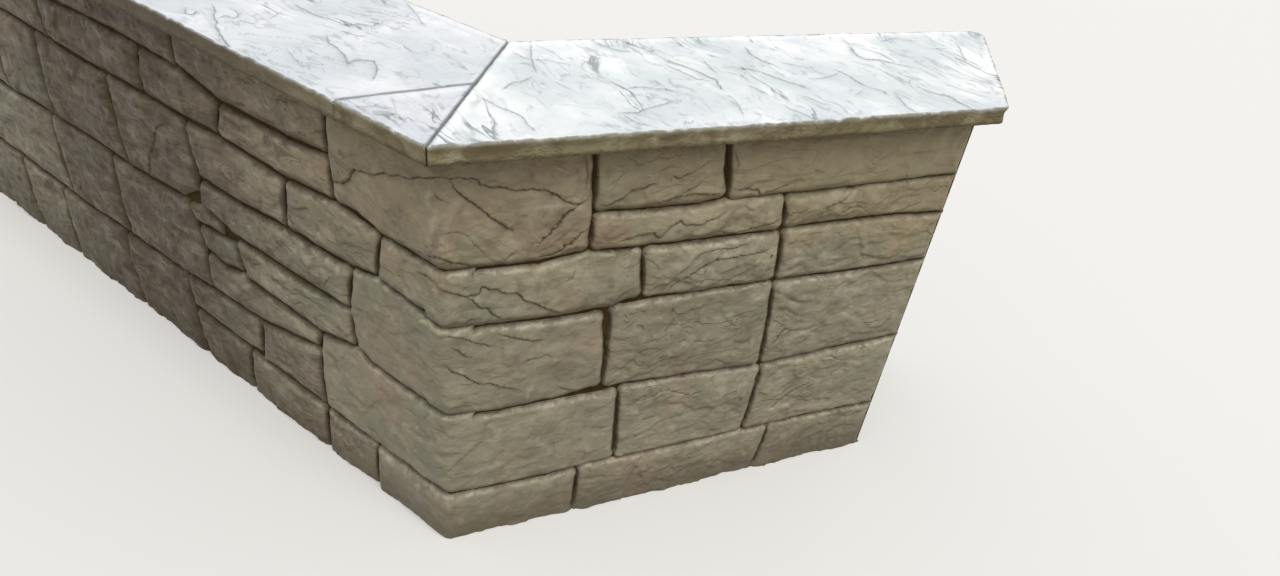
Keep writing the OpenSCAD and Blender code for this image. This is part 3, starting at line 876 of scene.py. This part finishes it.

# %% [markdown]
# ## The coping slabs
# A slab is cast face down in a mould with a slate pattern, so its top is full
# of shallow steps that flow one way, with thin clefts across them, and its
# arrises are soft and a little ragged. It is carved as the blocks are, but
# the sheet is the slab's top, and every height goes down from it. The sides
# run in and out slightly, never past the solid. The larger clefts were traced
# and are given in millimetres of the plan.

# %% Lines of the stamped tops
slab_lines = [
    (18, [(-333, 378), (-328, 350), (-331, 324), (-325, 292), (-328, 273), (-321, 239),
          (-313, 205), (-307, 178)]),
    (14, [(-370, 362), (-370, 330), (-359, 325), (-355, 340), (-349, 324)]),
    (12, [(-328, 313), (-314, 323), (-302, 307), (-295, 328), (-300, 350), (-311, 366)]),
    (14, [(-211, 371), (-196, 342), (-178, 314), (-163, 292), (-144, 270), (-120, 275),
          (-104, 269), (-84, 284)]),
    (14, [(-174, 236), (-174, 197), (-164, 169), (-157, 145), (-156, 114), (-138, 126),
          (-118, 120), (-118, 86), (-130, 42)]),
    (8, [(-235, 173), (-228, 146), (-220, 111)]),
    (8, [(-33, 368), (-24, 326), (-23, 271), (-18, 254)]),
    (6, [(-197, 199), (-185, 190)]),
    (8, [(-230, 336), (-250, 308), (-262, 304)]),
    (12, [(133, 173), (115, 109), (107, 49)]),
    (10, [(90, 140), (110, 105), (136, 93), (166, 77)]),
    (12, [(223, 175), (246, 161), (267, 140), (289, 124)]),
    (12, [(288, 174), (308, 141), (336, 118)]),
    (15, [(334, 94), (351, 66), (367, 40), (385, 1), (373, -48)]),
    (12, [(325, 65), (342, 28), (354, 4), (379, -4)]),
    (10, [(402, 87), (396, 52), (398, 23)]),
    (12, [(222, -19), (254, -14), (281, -21), (307, -32)]),
    (12, [(180, -103), (214, -96), (249, -80), (278, -71)]),
    (12, [(38, -8), (57, 15), (81, 26), (99, 41)]),
    (12, [(2, -28), (25, -62), (45, -94), (52, -145)]),
    (10, [(366, -78), (370, -107), (364, -134)]),
    (9, [(441, 54), (460, 32), (472, 16)]),
    (14, [(507, 136), (504, 93), (508, 64), (520, 40)]),
    (14, [(439, 52), (460, 32), (478, 17), (487, -1), (501, -23), (519, -37), (524, -55)]),
    (10, [(531, 62), (551, 49), (574, 40)]),
    (12, [(424, -24), (435, -41), (441, -73)]),
    (10, [(550, -19), (574, -18), (607, 1), (623, 9)]),
    (14, [(620, 23), (632, 3), (635, -23), (636, -49), (654, -72), (651, -96)]),
    (10, [(587, -89), (617, -68)]),
    (16, [(711, 112), (704, 73), (711, 58), (733, 51), (748, 35), (771, 24)]),
    (12, [(738, 90), (753, 79), (758, 54), (760, 39)]),
    (9, [(635, 59), (653, 48), (653, 29)]),
    (10, [(443, -104), (455, -121), (465, -140), (470, -155), (485, -154)]),
    (10, [(492, -71), (506, -85), (513, -109), (526, -118)]),
    (14, [(732, -68), (747, -86), (766, -105), (768, -134), (773, -163)]),
    (10, [(668, -86), (654, -133), (655, -164)]),
    (10, [(799, 144), (843, 152), (895, 144)]),
    (10, [(399, 77), (397, 50), (400, 37)]),
    (9, [(373, -81), (370, -114)]),
    (10, [(412, 27), (436, 17), (439, -13)]),
    (9, [(-166, -40), (-136, -40), (-115, -59)]),
    (8, [(-138, -71), (-116, -74), (-102, -94)]),
    (10, [(964, 120), (929, 59), (908, 21)]),
    (8, [(820, 19), (821, -18), (845, -39)]),
    (8, [(886, 103), (928, 90)]),
]

top_lines = [(tenths / 10, np.array(line) / 1000) for tenths, line in slab_lines]
print("clefts of the tops", len(top_lines))

# %% The sheet of the tops
# For each slab: the name of its piece, its grid, the way its pattern flows and how grey it is
slabs = {
    "cap_right": ("slab_right", 0.0034, -1.28, 0.0),
    "cap_wedge": ("slab_wedge", 0.0030, -1.05, 0.6),
    "cap_left_a": ("slab_left", 0.0034, -0.95, 0.4),
    "cap_left_b": ("slab_far", 0.0042, -1.00, 0.4),
}
# Rows of points beside the rim, half the width of a cleft, and how deep it is where dark
slab_rows, slab_cleft, slab_dark = (0.0010, 0.0030, 0.0060), 0.0018, 1.6
slab_thick, joint_arris, joint_near = 0.030, 0.0022, 0.007


class TopSide(FlatSide):
    """The tops of the slabs. The sheet is the plan, and a slab is widest at its underside."""

    limit = 0.9
    height = 0.805

    def __init__(self):
        pass

    def faces_out(self, normals):
        return -normals[:, 2]

    def unroll(self, co):
        return co[:, :2].copy()

    def place(self, flat, rise):
        return np.column_stack([flat, self.height + rise])


print("slabs", len(slabs), "outline of the wedge", len(rims("cap_wedge", TopSide())[0]), "points")

# %% Height of a slab's top
def slab_height(flat, edge, jointed, cleft, way, seed):
    """Rise of a slab's top below its highest level, and how much painted shade lies where it
    steps down.
    """
    radius = np.clip(0.0048 + 0.0018 * swell(flat, 0.035, seed + 2, 3), 0.0022, 0.008)
    radius = np.where(jointed, joint_arris, radius)
    t = np.clip(edge / radius, 0, 1)
    rise = -radius * (1 - np.sqrt(1 - (1 - t) ** 2))
    level, ledge_shade = ledges(flat, way, 0.045, seed)
    calm = np.clip(edge / 0.016, 0.12, 1)
    rise += calm * 0.0016 * np.clip(level - 2, -4, 0)
    rise += calm * (0.0018 * swell(flat, 0.07, seed + 1, 3) - 0.0018)
    rise += 0.0005 * cleft["deep"] * (cleft["side"] - 1) * np.exp(-cleft["far"] / 0.012)
    rise -= 0.001 * cleft["deep"] * cleft["in"]
    patch = np.clip(0.5 + 2.2 * swell(flat, 0.06, seed + 3, 2), 0, 1)
    return np.minimum(rise, -0.0001), ledge_shade * patch * calm


# %% A slab
def slab(name, node, step, way, grey, lines):
    """A coping slab: carved top, ragged sides and a plain underside."""
    rng = np.random.default_rng(sum(map(ord, node)))
    side = TopSide()
    seed = rng.uniform(0, 90)
    rim = even_rim(rims(node, side)[0], step * 1.3)
    others = [rims(other, side)[0] for other in slabs if other != node]
    after = np.vstack([np.roll(other, -1, 0) for other in others])
    jointed = distance(rim, np.vstack(others), after)[0] < joint_near
    inward = inward_of(rim)
    wave = 0.0009 * np.clip(swell(rim, 0.022, seed + 9, 3), -1, 0.7)
    rim = rim + inward * (np.where(jointed, -0.0007, 0.0007) - wave)[:, None]
    here = traced(lines, rim, step, rng)
    flat, tris, order = triangles(rim, step, slab_rows, here, slab_cleft)
    edge, _, which = from_loop(flat, rim)
    worn = distance(flat, rim[~jointed], np.roll(rim, -1, 0)[~jointed])[0]
    cleft = cleft_numbers(flat, here, slab_cleft)
    rise, ledge_shade = slab_height(flat, edge, jointed[which], cleft, way, seed)
    # Painted shade: on the low side of each cleft, and on the top where it rounds down into a
    # joint
    shade = (cleft["side"] < 0) * np.exp(-cleft["far"] / 0.006)
    shade = shade * np.clip(cleft["deep"] / slab_dark, 0, 1)
    sunk = jointed[which] * np.clip(1.3 - edge / 0.0028, 0, 1)
    shell = Shell("rim", "crack_shade", "ledge_shade", "hollow", "top")
    numbers = {"rim": worn, "crack_shade": np.maximum(cleft_shade(cleft, slab_dark), sunk), "top": 1.0}
    numbers |= {"ledge_shade": np.maximum(ledge_shade, shade), "hollow": np.clip(-rise / 0.006, 0, 1)}
    shell.fill(shell.add(side.place(flat, rise), **numbers), tris)
    above = order
    foot = cad_high.z - slab_thick
    for level in (0.86, 0.66, 0.44, 0.22, 0.0):
        z = foot + (cad_high.z + rise[order] - foot) * level
        ripple = np.stack([rim[:, 0] + rim[:, 1], z], 1)
        ripple = 0.5 + 0.5 * swell(ripple, 0.05, seed + 5, 2)
        facet = np.stack([rim[:, 0] - rim[:, 1], z * 1.5], 1)
        facet = 0.5 + splits(facet, 0.055, seed + 6)
        hewn = 1 if 0 < level < 0.8 else 0.5
        shift = 0.0046 * np.clip(0.3 * ripple + 1.0 * facet, 0, 1.2) * hewn
        ring = rim + inward * np.where(jointed, 0, shift)[:, None]
        base = shell.add(np.column_stack([ring, z]), top=0.3 if level > 0.8 else 0.0)
        above = shell.band(above, base)
    shell.face(above[::-1], smooth=False)
    verts = np.clip(shell.verts, np.array(cad_low), np.array(cad_high))
    flow = flowing(verts[:, :2], way, seed)
    shell.verts = verts.tolist()
    shell.numbers |= {"grey": [grey] * len(verts), "along": flow[:, 0], "across": flow[:, 1]}
    return piece(name, shell, node)


# %% Carve the slabs
for node, (name, step, way, grey) in slabs.items():
    pieces["slab"].append(slab(name, node, step, way, grey, top_lines))
    print(name, len(pieces["slab"][-1].data.polygons), "faces")

# %% [markdown]
# ## Finishes
# Everything here is concrete, so most finishes share their parts: grain, a
# dark colour in sunk places that is partly dirt and partly painted shade, and
# layers as in slate with painted shadow lines at their steps. Each of these is
# a node group that is built once and placed in every material with its own values.
# Photographs of concrete could be wrapped round the wall instead, but noise
# at the object's own places has no seams and suits every side. A finish is
# then laid like paint: one colour over another, each with a field that says
# how much of it lies where. Colours are written as seen on a screen and turned
# into linear light by `paint`.

# %% Colours
def paint(*screen):
    """A colour from red, green and blue of 0 to 255, as seen on a screen."""
    def linear(v):
        v /= 255
        return v / 12.92 if v <= 0.04045 else ((v + 0.055) / 1.055) ** 2.4

    return (*map(linear, screen), 1.0)


print("middle grey in linear light", round(paint(128, 128, 128)[0], 3))


def blend(share, low, high):
    """The colour low where the share is 0 and high where it is 1."""
    low, high = (c if isinstance(c, Field) else paint(*c) for c in (low, high))
    return field(share.tree, "ShaderNodeMix", {0: share, 6: low, 7: high}, 2, data_type="RGBA")


def layered(colour, *layers):
    """Colours laid over one another, each with its share."""
    for share, over in layers:
        colour = blend(share, colour, over)
    return colour


# %% Numbers and places in a tree
def number(tree, name):
    """One of the numbers that stay with every point of a piece."""
    settings = {"attribute_name": name, "attribute_type": "GEOMETRY"}
    return field(tree, "ShaderNodeAttribute", out="Fac", **settings)


def place_in(tree):
    return field(tree, "ShaderNodeTexCoord", out="Object")


def xyz(vector):
    return fields(add_node(vector.tree, "ShaderNodeSeparateXYZ", {0: vector}))


def facing_up(tree):
    return xyz(field(tree, "ShaderNodeNewGeometry", out="Normal"))["Z"]


# %% Groups
def new_group(name, inputs, outputs):
    """A shader node group with named sockets: (name, kind, value) in, (name, kind) out."""
    tree = bpy.data.node_groups.new(name, "ShaderNodeTree")
    for key, kind, value in inputs:
        kind = "NodeSocket" + kind
        socket = tree.interface.new_socket(key, in_out="INPUT", socket_type=kind)
        if value is not None:
            socket.default_value = value
    for key, kind in outputs:
        tree.interface.new_socket(key, in_out="OUTPUT", socket_type="NodeSocket" + kind)
    return tree, fields(tree.nodes.new("NodeGroupInput"))


def hand_out(tree, results):
    """Link what a group has worked out to its output."""
    add_node(tree, "NodeGroupOutput", results)
    print("group", tree.name, len(tree.nodes), "nodes")


def placed(tree, group, values):
    """A group in a material, with its own values."""
    return fields(add_node(tree, "ShaderNodeGroup", values, node_tree=group))


# %% [markdown]
# The grain of cast concrete is sand and fine pores. One group gives it to
# every finish: a height for the bump, soft mottling, and a few small pits
# where air bubbles sat against the mould.

# %% Group: cast grain
grain, given = new_group(
    "cast_grain",
    [("Size", "Float", 1.0), ("Pits", "Float", 0.5)],
    [("Height", "Float"), ("Mottle", "Float"), ("Pit", "Float")],
)
values = {0: place_in(grain), "Scale": given["Size"]}
sized = field(grain, "ShaderNodeVectorMath", values, operation="SCALE")
sand = sized.clouds(420.0, 4.0, 0.65)
lumps = sized.clouds(70.0, 3.0, 0.5)
mottle = sized.clouds(23.0, 5.0, 0.6, 0.4)
bubbles = add_node(grain, "ShaderNodeTexVoronoi", {"Vector": sized, "Scale": 85.0}, feature="F1")
bubbles = fields(bubbles)
ball = bubbles["Distance"].ramp(0.10, 0.20, 1.0, 0.0)
picked = sized.clouds(14.0, 2.0).ramp(0.60, 0.66)
rare = field(grain, "ShaderNodeSeparateColor", {"Color": bubbles["Color"]})
pit = ball * calc("GREATER_THAN", rare, 0.72) * picked * given["Pits"]
height = sand * 0.35 + lumps * 0.65 - pit * 0.9
hand_out(grain, {"Height": height, "Mottle": mottle, "Pit": pit})

# %% [markdown]
# The second group darkens a colour along the joints, in the clefts and low on
# the wall, with a ragged border. Along the joints this is partly dirt and
# partly painted shade where the rims round off into the joint, in the clefts
# it is painted shade, and low on the wall it is only darker towards the bottom.

# %% Group: joint dirt and painted shade
dirt_and_shade, given = new_group(
    "joint_dirt_and_shade",
    [
        ("Color", "Color", paint(125, 118, 100)),
        ("Dirt_and_shade", "Color", paint(62, 47, 17)),
        ("Rim", "Float", 1.0),
        ("Crack_shade", "Float", 0.0),
        ("Reach", "Float", 0.0036),
        ("Amount", "Float", 0.75),
    ],
    [("Color", "Color"), ("Mask", "Float")],
)
spot = place_in(dirt_and_shade)
rag = spot.clouds(38.0, 4.0, 0.6)
near = (given["Rim"] / (given["Reach"] * (rag * 2.2))).ramp(0.15, 1.25, 1.0, 0.0)
ground = (xyz(spot)["Z"] - rag * 0.12).ramp(-0.06, 0.08, 0.55, 0.0)
mask = calc("MAXIMUM", near * given["Amount"], ground)
mask = calc("MAXIMUM", mask, given["Crack_shade"] * 0.9, clamp=True)
hand_out(dirt_and_shade, {"Color": blend(mask, given["Color"], given["Dirt_and_shade"]), "Mask": mask})

# %% [markdown]
# Slate and hewn stone break in layers. The third group cuts soft noise into
# levels: each level ends in a small sharp step. Beside each step it gives a
# line of painted shadow, as the step would cast, crisp on one side and fading
# on the other. Only some patches are layered.

# %% Group: strata
strata, given = new_group(
    "strata",
    [("Place", "Vector", None), ("Levels", "Float", 9.0), ("Patches", "Float", 0.5)],
    [("Height", "Float"), ("Line", "Float")],
)
soft = given["Place"].clouds(1.0, 4.0, 0.52, 0.5)
leafed = soft * given["Levels"]
within = calc("FRACT", leafed)
stepped = (calc("FLOOR", leafed) + within.ramp(0.84, 1.0)) / given["Levels"]
where = given["Place"].clouds(0.45, 3.0, 0.6, 0.3) - given["Patches"]
where = where.ramp(-0.04, 0.06)
line = within.ramp(0.68, 0.93) * within.ramp(0.93, 1.0, 1.0, 0.0)
hand_out(strata, {"Height": soft + (stepped - soft) * where, "Line": line * where})

# %% [markdown]
# The blocks' faces are smooth olive grey concrete with warmer and greener
# patches and a few pale smears, partly lime and partly painted highlight. The
# block's own tone makes some a little lighter than their neighbours. The left
# wing is more strongly marked than the right one and grows darker and browner
# towards its far end, partly stain and partly painted shade, so many values
# differ by wing.

# %% A new finish
def finish(name, rough, specular=0.5):
    mat = bpy.data.materials.new(name)
    mat.use_nodes = True
    shader = mat.node_tree.nodes["Principled BSDF"]
    shader.inputs["Roughness"].default_value = rough
    shader.inputs["Specular IOR Level"].default_value = specular
    return mat, mat.node_tree, shader.inputs


def bumped(sockets, height, strength, depth):
    values = {"Height": height, "Strength": strength, "Distance": depth}
    plug(field(height.tree, "ShaderNodeBump", values, "Normal"), sockets["Normal"])


def leftwards(place):
    """How far along the left wing a place is; it is below 0 on the right wing."""
    return place["Y"] * 0.848 - place["X"] * 0.53


# %% Finish: moulded stone, its fields
stone_mat, tree, sockets = finish("moulded_stone", 0.60, 0.45)
spot = place_in(tree)
wing = xyz(spot)
along = leftwards(wing)
left = along.ramp(0.02, 0.32) * number(tree, "front")


def by_wing(right_value, left_value):
    """One value on the right wing that turns into another on the left wing."""
    return left.ramp(0.0, 1.0, right_value, left_value)


sheet = field(tree, "ShaderNodeCombineXYZ", {0: number(tree, "run"), 1: wing["Z"]})
cast = placed(tree, grain, {"Size": 1.0, "Pits": 1.0})
lying = sheet.stretched((7.5, 17.0, 1.0))
hewn = placed(tree, strata, {"Place": lying, "Levels": 7.0, "Patches": 0.50})
broad = spot.clouds(5.5, 3.0, 0.55, 0.6)
patch = spot.stretched(shift=(3.1, 1.7, 0.4)).clouds(9.0, 4.0, 0.6)
cloud = spot.clouds(21.0, 5.0, 0.66, 0.9)
blotch = spot.clouds(52.0, 4.0, 0.62, 0.5)
dabs = sheet.stretched((15.0, 40.0, 1.0), (0.7, 2.9, 0.0)).clouds(1.0, 5.0, 0.62, 0.6)
level_of = wing["Z"] + (broad - 0.5) * 0.45
facing = facing_up(tree)
lime_and_highlight_share = number(tree, "lime_and_highlight") * blotch.ramp(0.36, 0.60).ramp(0.0, 1.0, 0.4, 1.0)
smear = sheet.stretched((6.0, 26.0, 1.0)).clouds(1.0, 4.0, 0.6).ramp(0.62, 0.78, 0.0, 0.40)
tone = number(tree, "tone") * by_wing(1.0, 2.0)
# Darker and browner towards the far end of the left wing's front: partly stain, partly painted
# shade
far_along = along + (broad - 0.5) * 0.5
far_left_stain_and_shade = far_along.ramp(0.20, 0.68, 0.10, 0.95) * (left * far_along.ramp(0.95, 1.35, 1.0, 0.5))
far_left_stain_and_shade = far_left_stain_and_shade * dabs.ramp(0.36, 0.58, 0.70, 1.0)
olive = wing["X"] + (level_of - 0.75) * 2.0
under_cap = wing["Z"] - (blotch - 0.5) * 0.06
print("fields of the stone", len(tree.nodes), "nodes")

# %% Finish: moulded stone, its colours
colour = blend(cast["Mottle"].ramp(0.32, 0.68), (126, 117, 95), (166, 157, 133))
colour = layered(
    colour,
    # Warm high up, cool low down, and broad stains
    (level_of.ramp(0.52, 0.70, 0.0, 0.4), (158, 140, 108)),
    (level_of.ramp(0.60, 0.45, 0.0, 0.5), (122, 124, 106)),
    (broad.ramp(0.46, 0.70, 0.0, 0.6), (156, 134, 114)),
    (cloud.ramp(0.52, 0.70, 0.0, 0.5), (96, 84, 64)),
    (cloud.ramp(0.46, 0.30, 0.0, 0.5), (178, 170, 150)),
    (patch.ramp(0.50, 0.68, 0.0, 0.5), (132, 132, 106)),
    # Pale smears, partly lime and partly painted highlight, specks, dark and pale dabs, pits, and
    # the painted shadow lines of the layers
    (calc("MAXIMUM", smear, lime_and_highlight_share), (190, 180, 162)),
    (blotch.ramp(0.66, 0.74, 0.0, 0.6), (76, 64, 46)),
    (dabs.ramp(0.53, 0.62) * by_wing(0.25, 0.70), (80, 66, 46)),
    (dabs.ramp(0.45, 0.36) * by_wing(0.15, 0.50), (186, 176, 160)),
    (cast["Pit"] * 0.7, (58, 48, 34)),
    (hewn["Line"] * 0.20, (74, 64, 44)),
    # Upper rims paler, partly wear and partly painted highlight; painted shade on the undersides
    # and at ledges
    (facing.ramp(0.22, 0.65, 0.0, 0.75) * blotch.ramp(0.44, 0.60), (186, 176, 152)),
    (facing.ramp(-0.08, -0.50) * by_wing(0.6, 0.9), (82, 66, 34)),
    (number(tree, "ledge_shade") * 0.22, (74, 64, 48)),
    # The block's own tone, then the far left's darkening (partly stain, partly painted shade),
    # the olive right end and the painted shade under the coping
    (calc("MULTIPLY", tone, 0.12, clamp=True), (176, 168, 146)),
    (calc("MULTIPLY", tone, -0.12, clamp=True), (70, 60, 46)),
    (far_left_stain_and_shade, (64, 51, 35)),
    (olive.ramp(0.0, 0.45, 0.0, 0.45), (142, 132, 98)),
    (under_cap.ramp(0.725, 0.768, 0.0, 0.50), (104, 86, 56)),
)
values = {"Color": colour, "Rim": number(tree, "rim"), "Crack_shade": number(tree, "crack_shade")}
# More of the dark colour on faces that don't look up: painted shade under the rims, wider on the
# left wing
values["Amount"] = facing.ramp(-0.2, 0.5, 0.88, by_wing(0.40, 0.75))
values["Reach"] = by_wing(0.0036, 0.0060)
plug(placed(tree, dirt_and_shade, values)["Color"], sockets["Base Color"])
plug(cast["Mottle"].ramp(0.3, 0.7, 0.46, 0.72), sockets["Roughness"])
layers = hewn["Height"] * number(tree, "rough").ramp(0.2, 1.0, 0.3, 0.9)
bumped(sockets, cast["Height"] * 0.09 + blotch * 0.11 + layers, 0.8, 0.020)
for obj in pieces["stone"]:
    obj.data.materials.append(stone_mat)
print("finish", stone_mat.name, len(tree.nodes), "nodes")

# %% [markdown]
# The slabs are paler and smoother than the faces, and the covered sky lies on
# them like a sheen. Their near-white top colour is partly the slab's own pale
# colour and partly painted reflection of that sky. Thin grey veins, painted
# shade in shallow grooves, flow with the pattern, and the steps, ledges, clefts
# and low places of the top get painted shade too. Their sides have the olive
# colour of the wall. The number `top` tells the two apart.

# %% Finish: stamped slab, its fields
slab_mat, tree, sockets = finish("stamped_slab", 0.40, 0.5)
spot = place_in(tree)
place = xyz(spot)
cast = placed(tree, grain, {"Size": 0.8, "Pits": 0.35})
flow = {0: number(tree, "along"), 1: number(tree, "across")}
flow = field(tree, "ShaderNodeCombineXYZ", flow)
turned = flow.stretched((12.5, 15.0, 1.0))
slate = placed(tree, strata, {"Place": turned, "Levels": 7.0, "Patches": 0.53})
dashed = flow.stretched((34.0, 22.0, 1.0)).clouds(1.0, 2.0, 0.5).ramp(0.44, 0.56)
wide = spot.clouds(8.0, 3.0, 0.6).ramp(0.52, 0.68, 0.0003, 0.018)
off = calc("ABSOLUTE", turned.clouds(1.3, 5.0, 0.62, 1.0) - 0.5)
values = {0: off, 1: 0.0, 2: wide, 3: 1.0, 4: 0.0}
vein = field(tree, "ShaderNodeMapRange", values)
moss = place["Z"] + spot.clouds(26.0, 4.0, 0.6) * -0.012
ragged_by = (spot.clouds(45.0, 4.0, 0.6) - 0.5) * 0.012
topmost = (number(tree, "rim") + ragged_by).ramp(0.0004, 0.0062) * number(tree, "top")
print("fields of the slabs", len(tree.nodes), "nodes")

# %% Finish: stamped slab, its colours
broad = spot.clouds(6.0, 4.0, 0.6).ramp(0.40, 0.60)
colour = layered(
    # Near white: partly the slab's pale colour, partly painted reflection of the sky
    blend(broad, (226, 232, 234), (255, 255, 255)),
    (spot.clouds(13.0, 3.0).ramp(0.52, 0.70, 0.0, 0.5), (226, 231, 241)),
    # Painted shade in the low places of the top and on its rounded arrises
    (number(tree, "hollow").ramp(0.45, 1.1, 0.0, 0.45), (200, 208, 210)),
    (number(tree, "grey") * 0.62, (190, 190, 206)),
    # Painted shade of the pattern: shadow strokes at its steps, shade at ledges, in the veins'
    # grooves and in clefts
    (slate["Line"] * dashed * 0.85, (132, 141, 145)),
    (number(tree, "ledge_shade") * 0.50, (148, 156, 158)),
    (vein * dashed * 0.55, (142, 150, 156)),
    (number(tree, "crack_shade") * 0.80, (112, 120, 122)),
)
patches = spot.clouds(17.0, 5.0, 0.65, 0.6).ramp(0.36, 0.62)
sides = layered(
    blend(patches, (108, 96, 68), (150, 141, 114)),
    (spot.clouds(9.0, 3.0).ramp(0.5, 0.7, 0.0, 0.6), (126, 120, 86)),
    # Mossy below and paler above; painted shade makes the left wing's sides browner, and painted
    # light makes the parts that turn up paler
    (moss.ramp(0.780, 0.766, 0.0, 0.60), (92, 80, 46)),
    (moss.ramp(0.786, 0.798, 0.0, 0.60), (152, 148, 130)),
    (leftwards(place).ramp(-0.02, 0.40, 0.0, 0.80), (84, 74, 58)),
    (facing_up(tree).ramp(0.15, 0.75, 0.0, 0.75), (136, 136, 124)),
    (spot.clouds(120.0, 4.0, 0.7).ramp(0.62, 0.72, 0.0, 0.35), (168, 162, 140)),
)
plug(blend(topmost, sides, colour), sockets["Base Color"])
plug(topmost.ramp(0.0, 1.0, 0.75, 0.38), sockets["Roughness"])
rubbed = spot.stretched((1.0, 1.0, 1.8)).clouds(24.0, 5.0, 0.6, 0.6)
leafy = (slate["Height"] - vein * 0.08) * topmost + (1.0 - topmost) * rubbed
bumped(sockets, cast["Height"] * 0.09 + leafy, 0.8, 0.012)
for obj in pieces["slab"]:
    obj.data.materials.append(slab_mat)
print("finish", slab_mat.name, len(tree.nodes), "nodes")

# %% [markdown]
# What is left are CAD nodes whose shape is right: the mortar coat, the bed
# and the joints under dark mortar, and the core, which shows as plain cast
# concrete with board marks at the cut end of the right wing.

# %% Finishes: mortar and core
def mottled(tree, size, pits, low, high):
    """The grain of a plain finish, and a colour that varies with it."""
    cast = placed(tree, grain, {"Size": size, "Pits": pits})
    return cast, blend(cast["Mottle"].ramp(0.3, 0.7), low, high)


mortar_mat, tree, sockets = finish("dark_mortar", 0.92, 0.2)
cast, colour = mottled(tree, 1.3, 0.6, (51, 38, 13), (71, 56, 25))
plug(colour, sockets["Base Color"])
bumped(sockets, cast["Height"], 0.8, 0.003)

core_mat, tree, sockets = finish("cast_core", 0.85, 0.25)
cast, colour = mottled(tree, 1.0, 1.0, (118, 112, 97), (146, 140, 124))
boards_per_metre = 8.2
board = calc("FRACT", xyz(place_in(tree))["Z"] * boards_per_metre)
seam = calc("ABSOLUTE", board - 0.5).ramp(0.47, 0.495)
colour = blend(seam * 0.45, colour, (84, 76, 62))
stained = placed(tree, dirt_and_shade, {"Color": colour, "Rim": 1.0, "Crack_shade": 0.0})
plug(stained["Color"], sockets["Base Color"])
bumped(sockets, cast["Height"] + seam * 0.8, 0.6, 0.002)

joint_mat, tree, sockets = finish("slab_joint", 0.85, 0.3)
cast, colour = mottled(tree, 1.3, 0.6, (104, 110, 108), (140, 146, 144))
# Grey where the joint looks up, dark brown on its sides: painted shade in the joint's recess
colour = blend(facing_up(tree).ramp(0.3, 0.8), (66, 54, 36), colour)
plug(colour, sockets["Base Color"])
bumped(sockets, cast["Height"], 0.8, 0.003)

for name, obj in nodes.items():
    if obj.hide_render:
        continue
    plain = core_mat if name.startswith("core_") else mortar_mat
    obj.data.materials.clear()
    obj.data.materials.append(joint_mat if name == "cap_joints" else plain)
print("mortar and core on", sum(not o.hide_render for o in nodes.values()), "nodes")
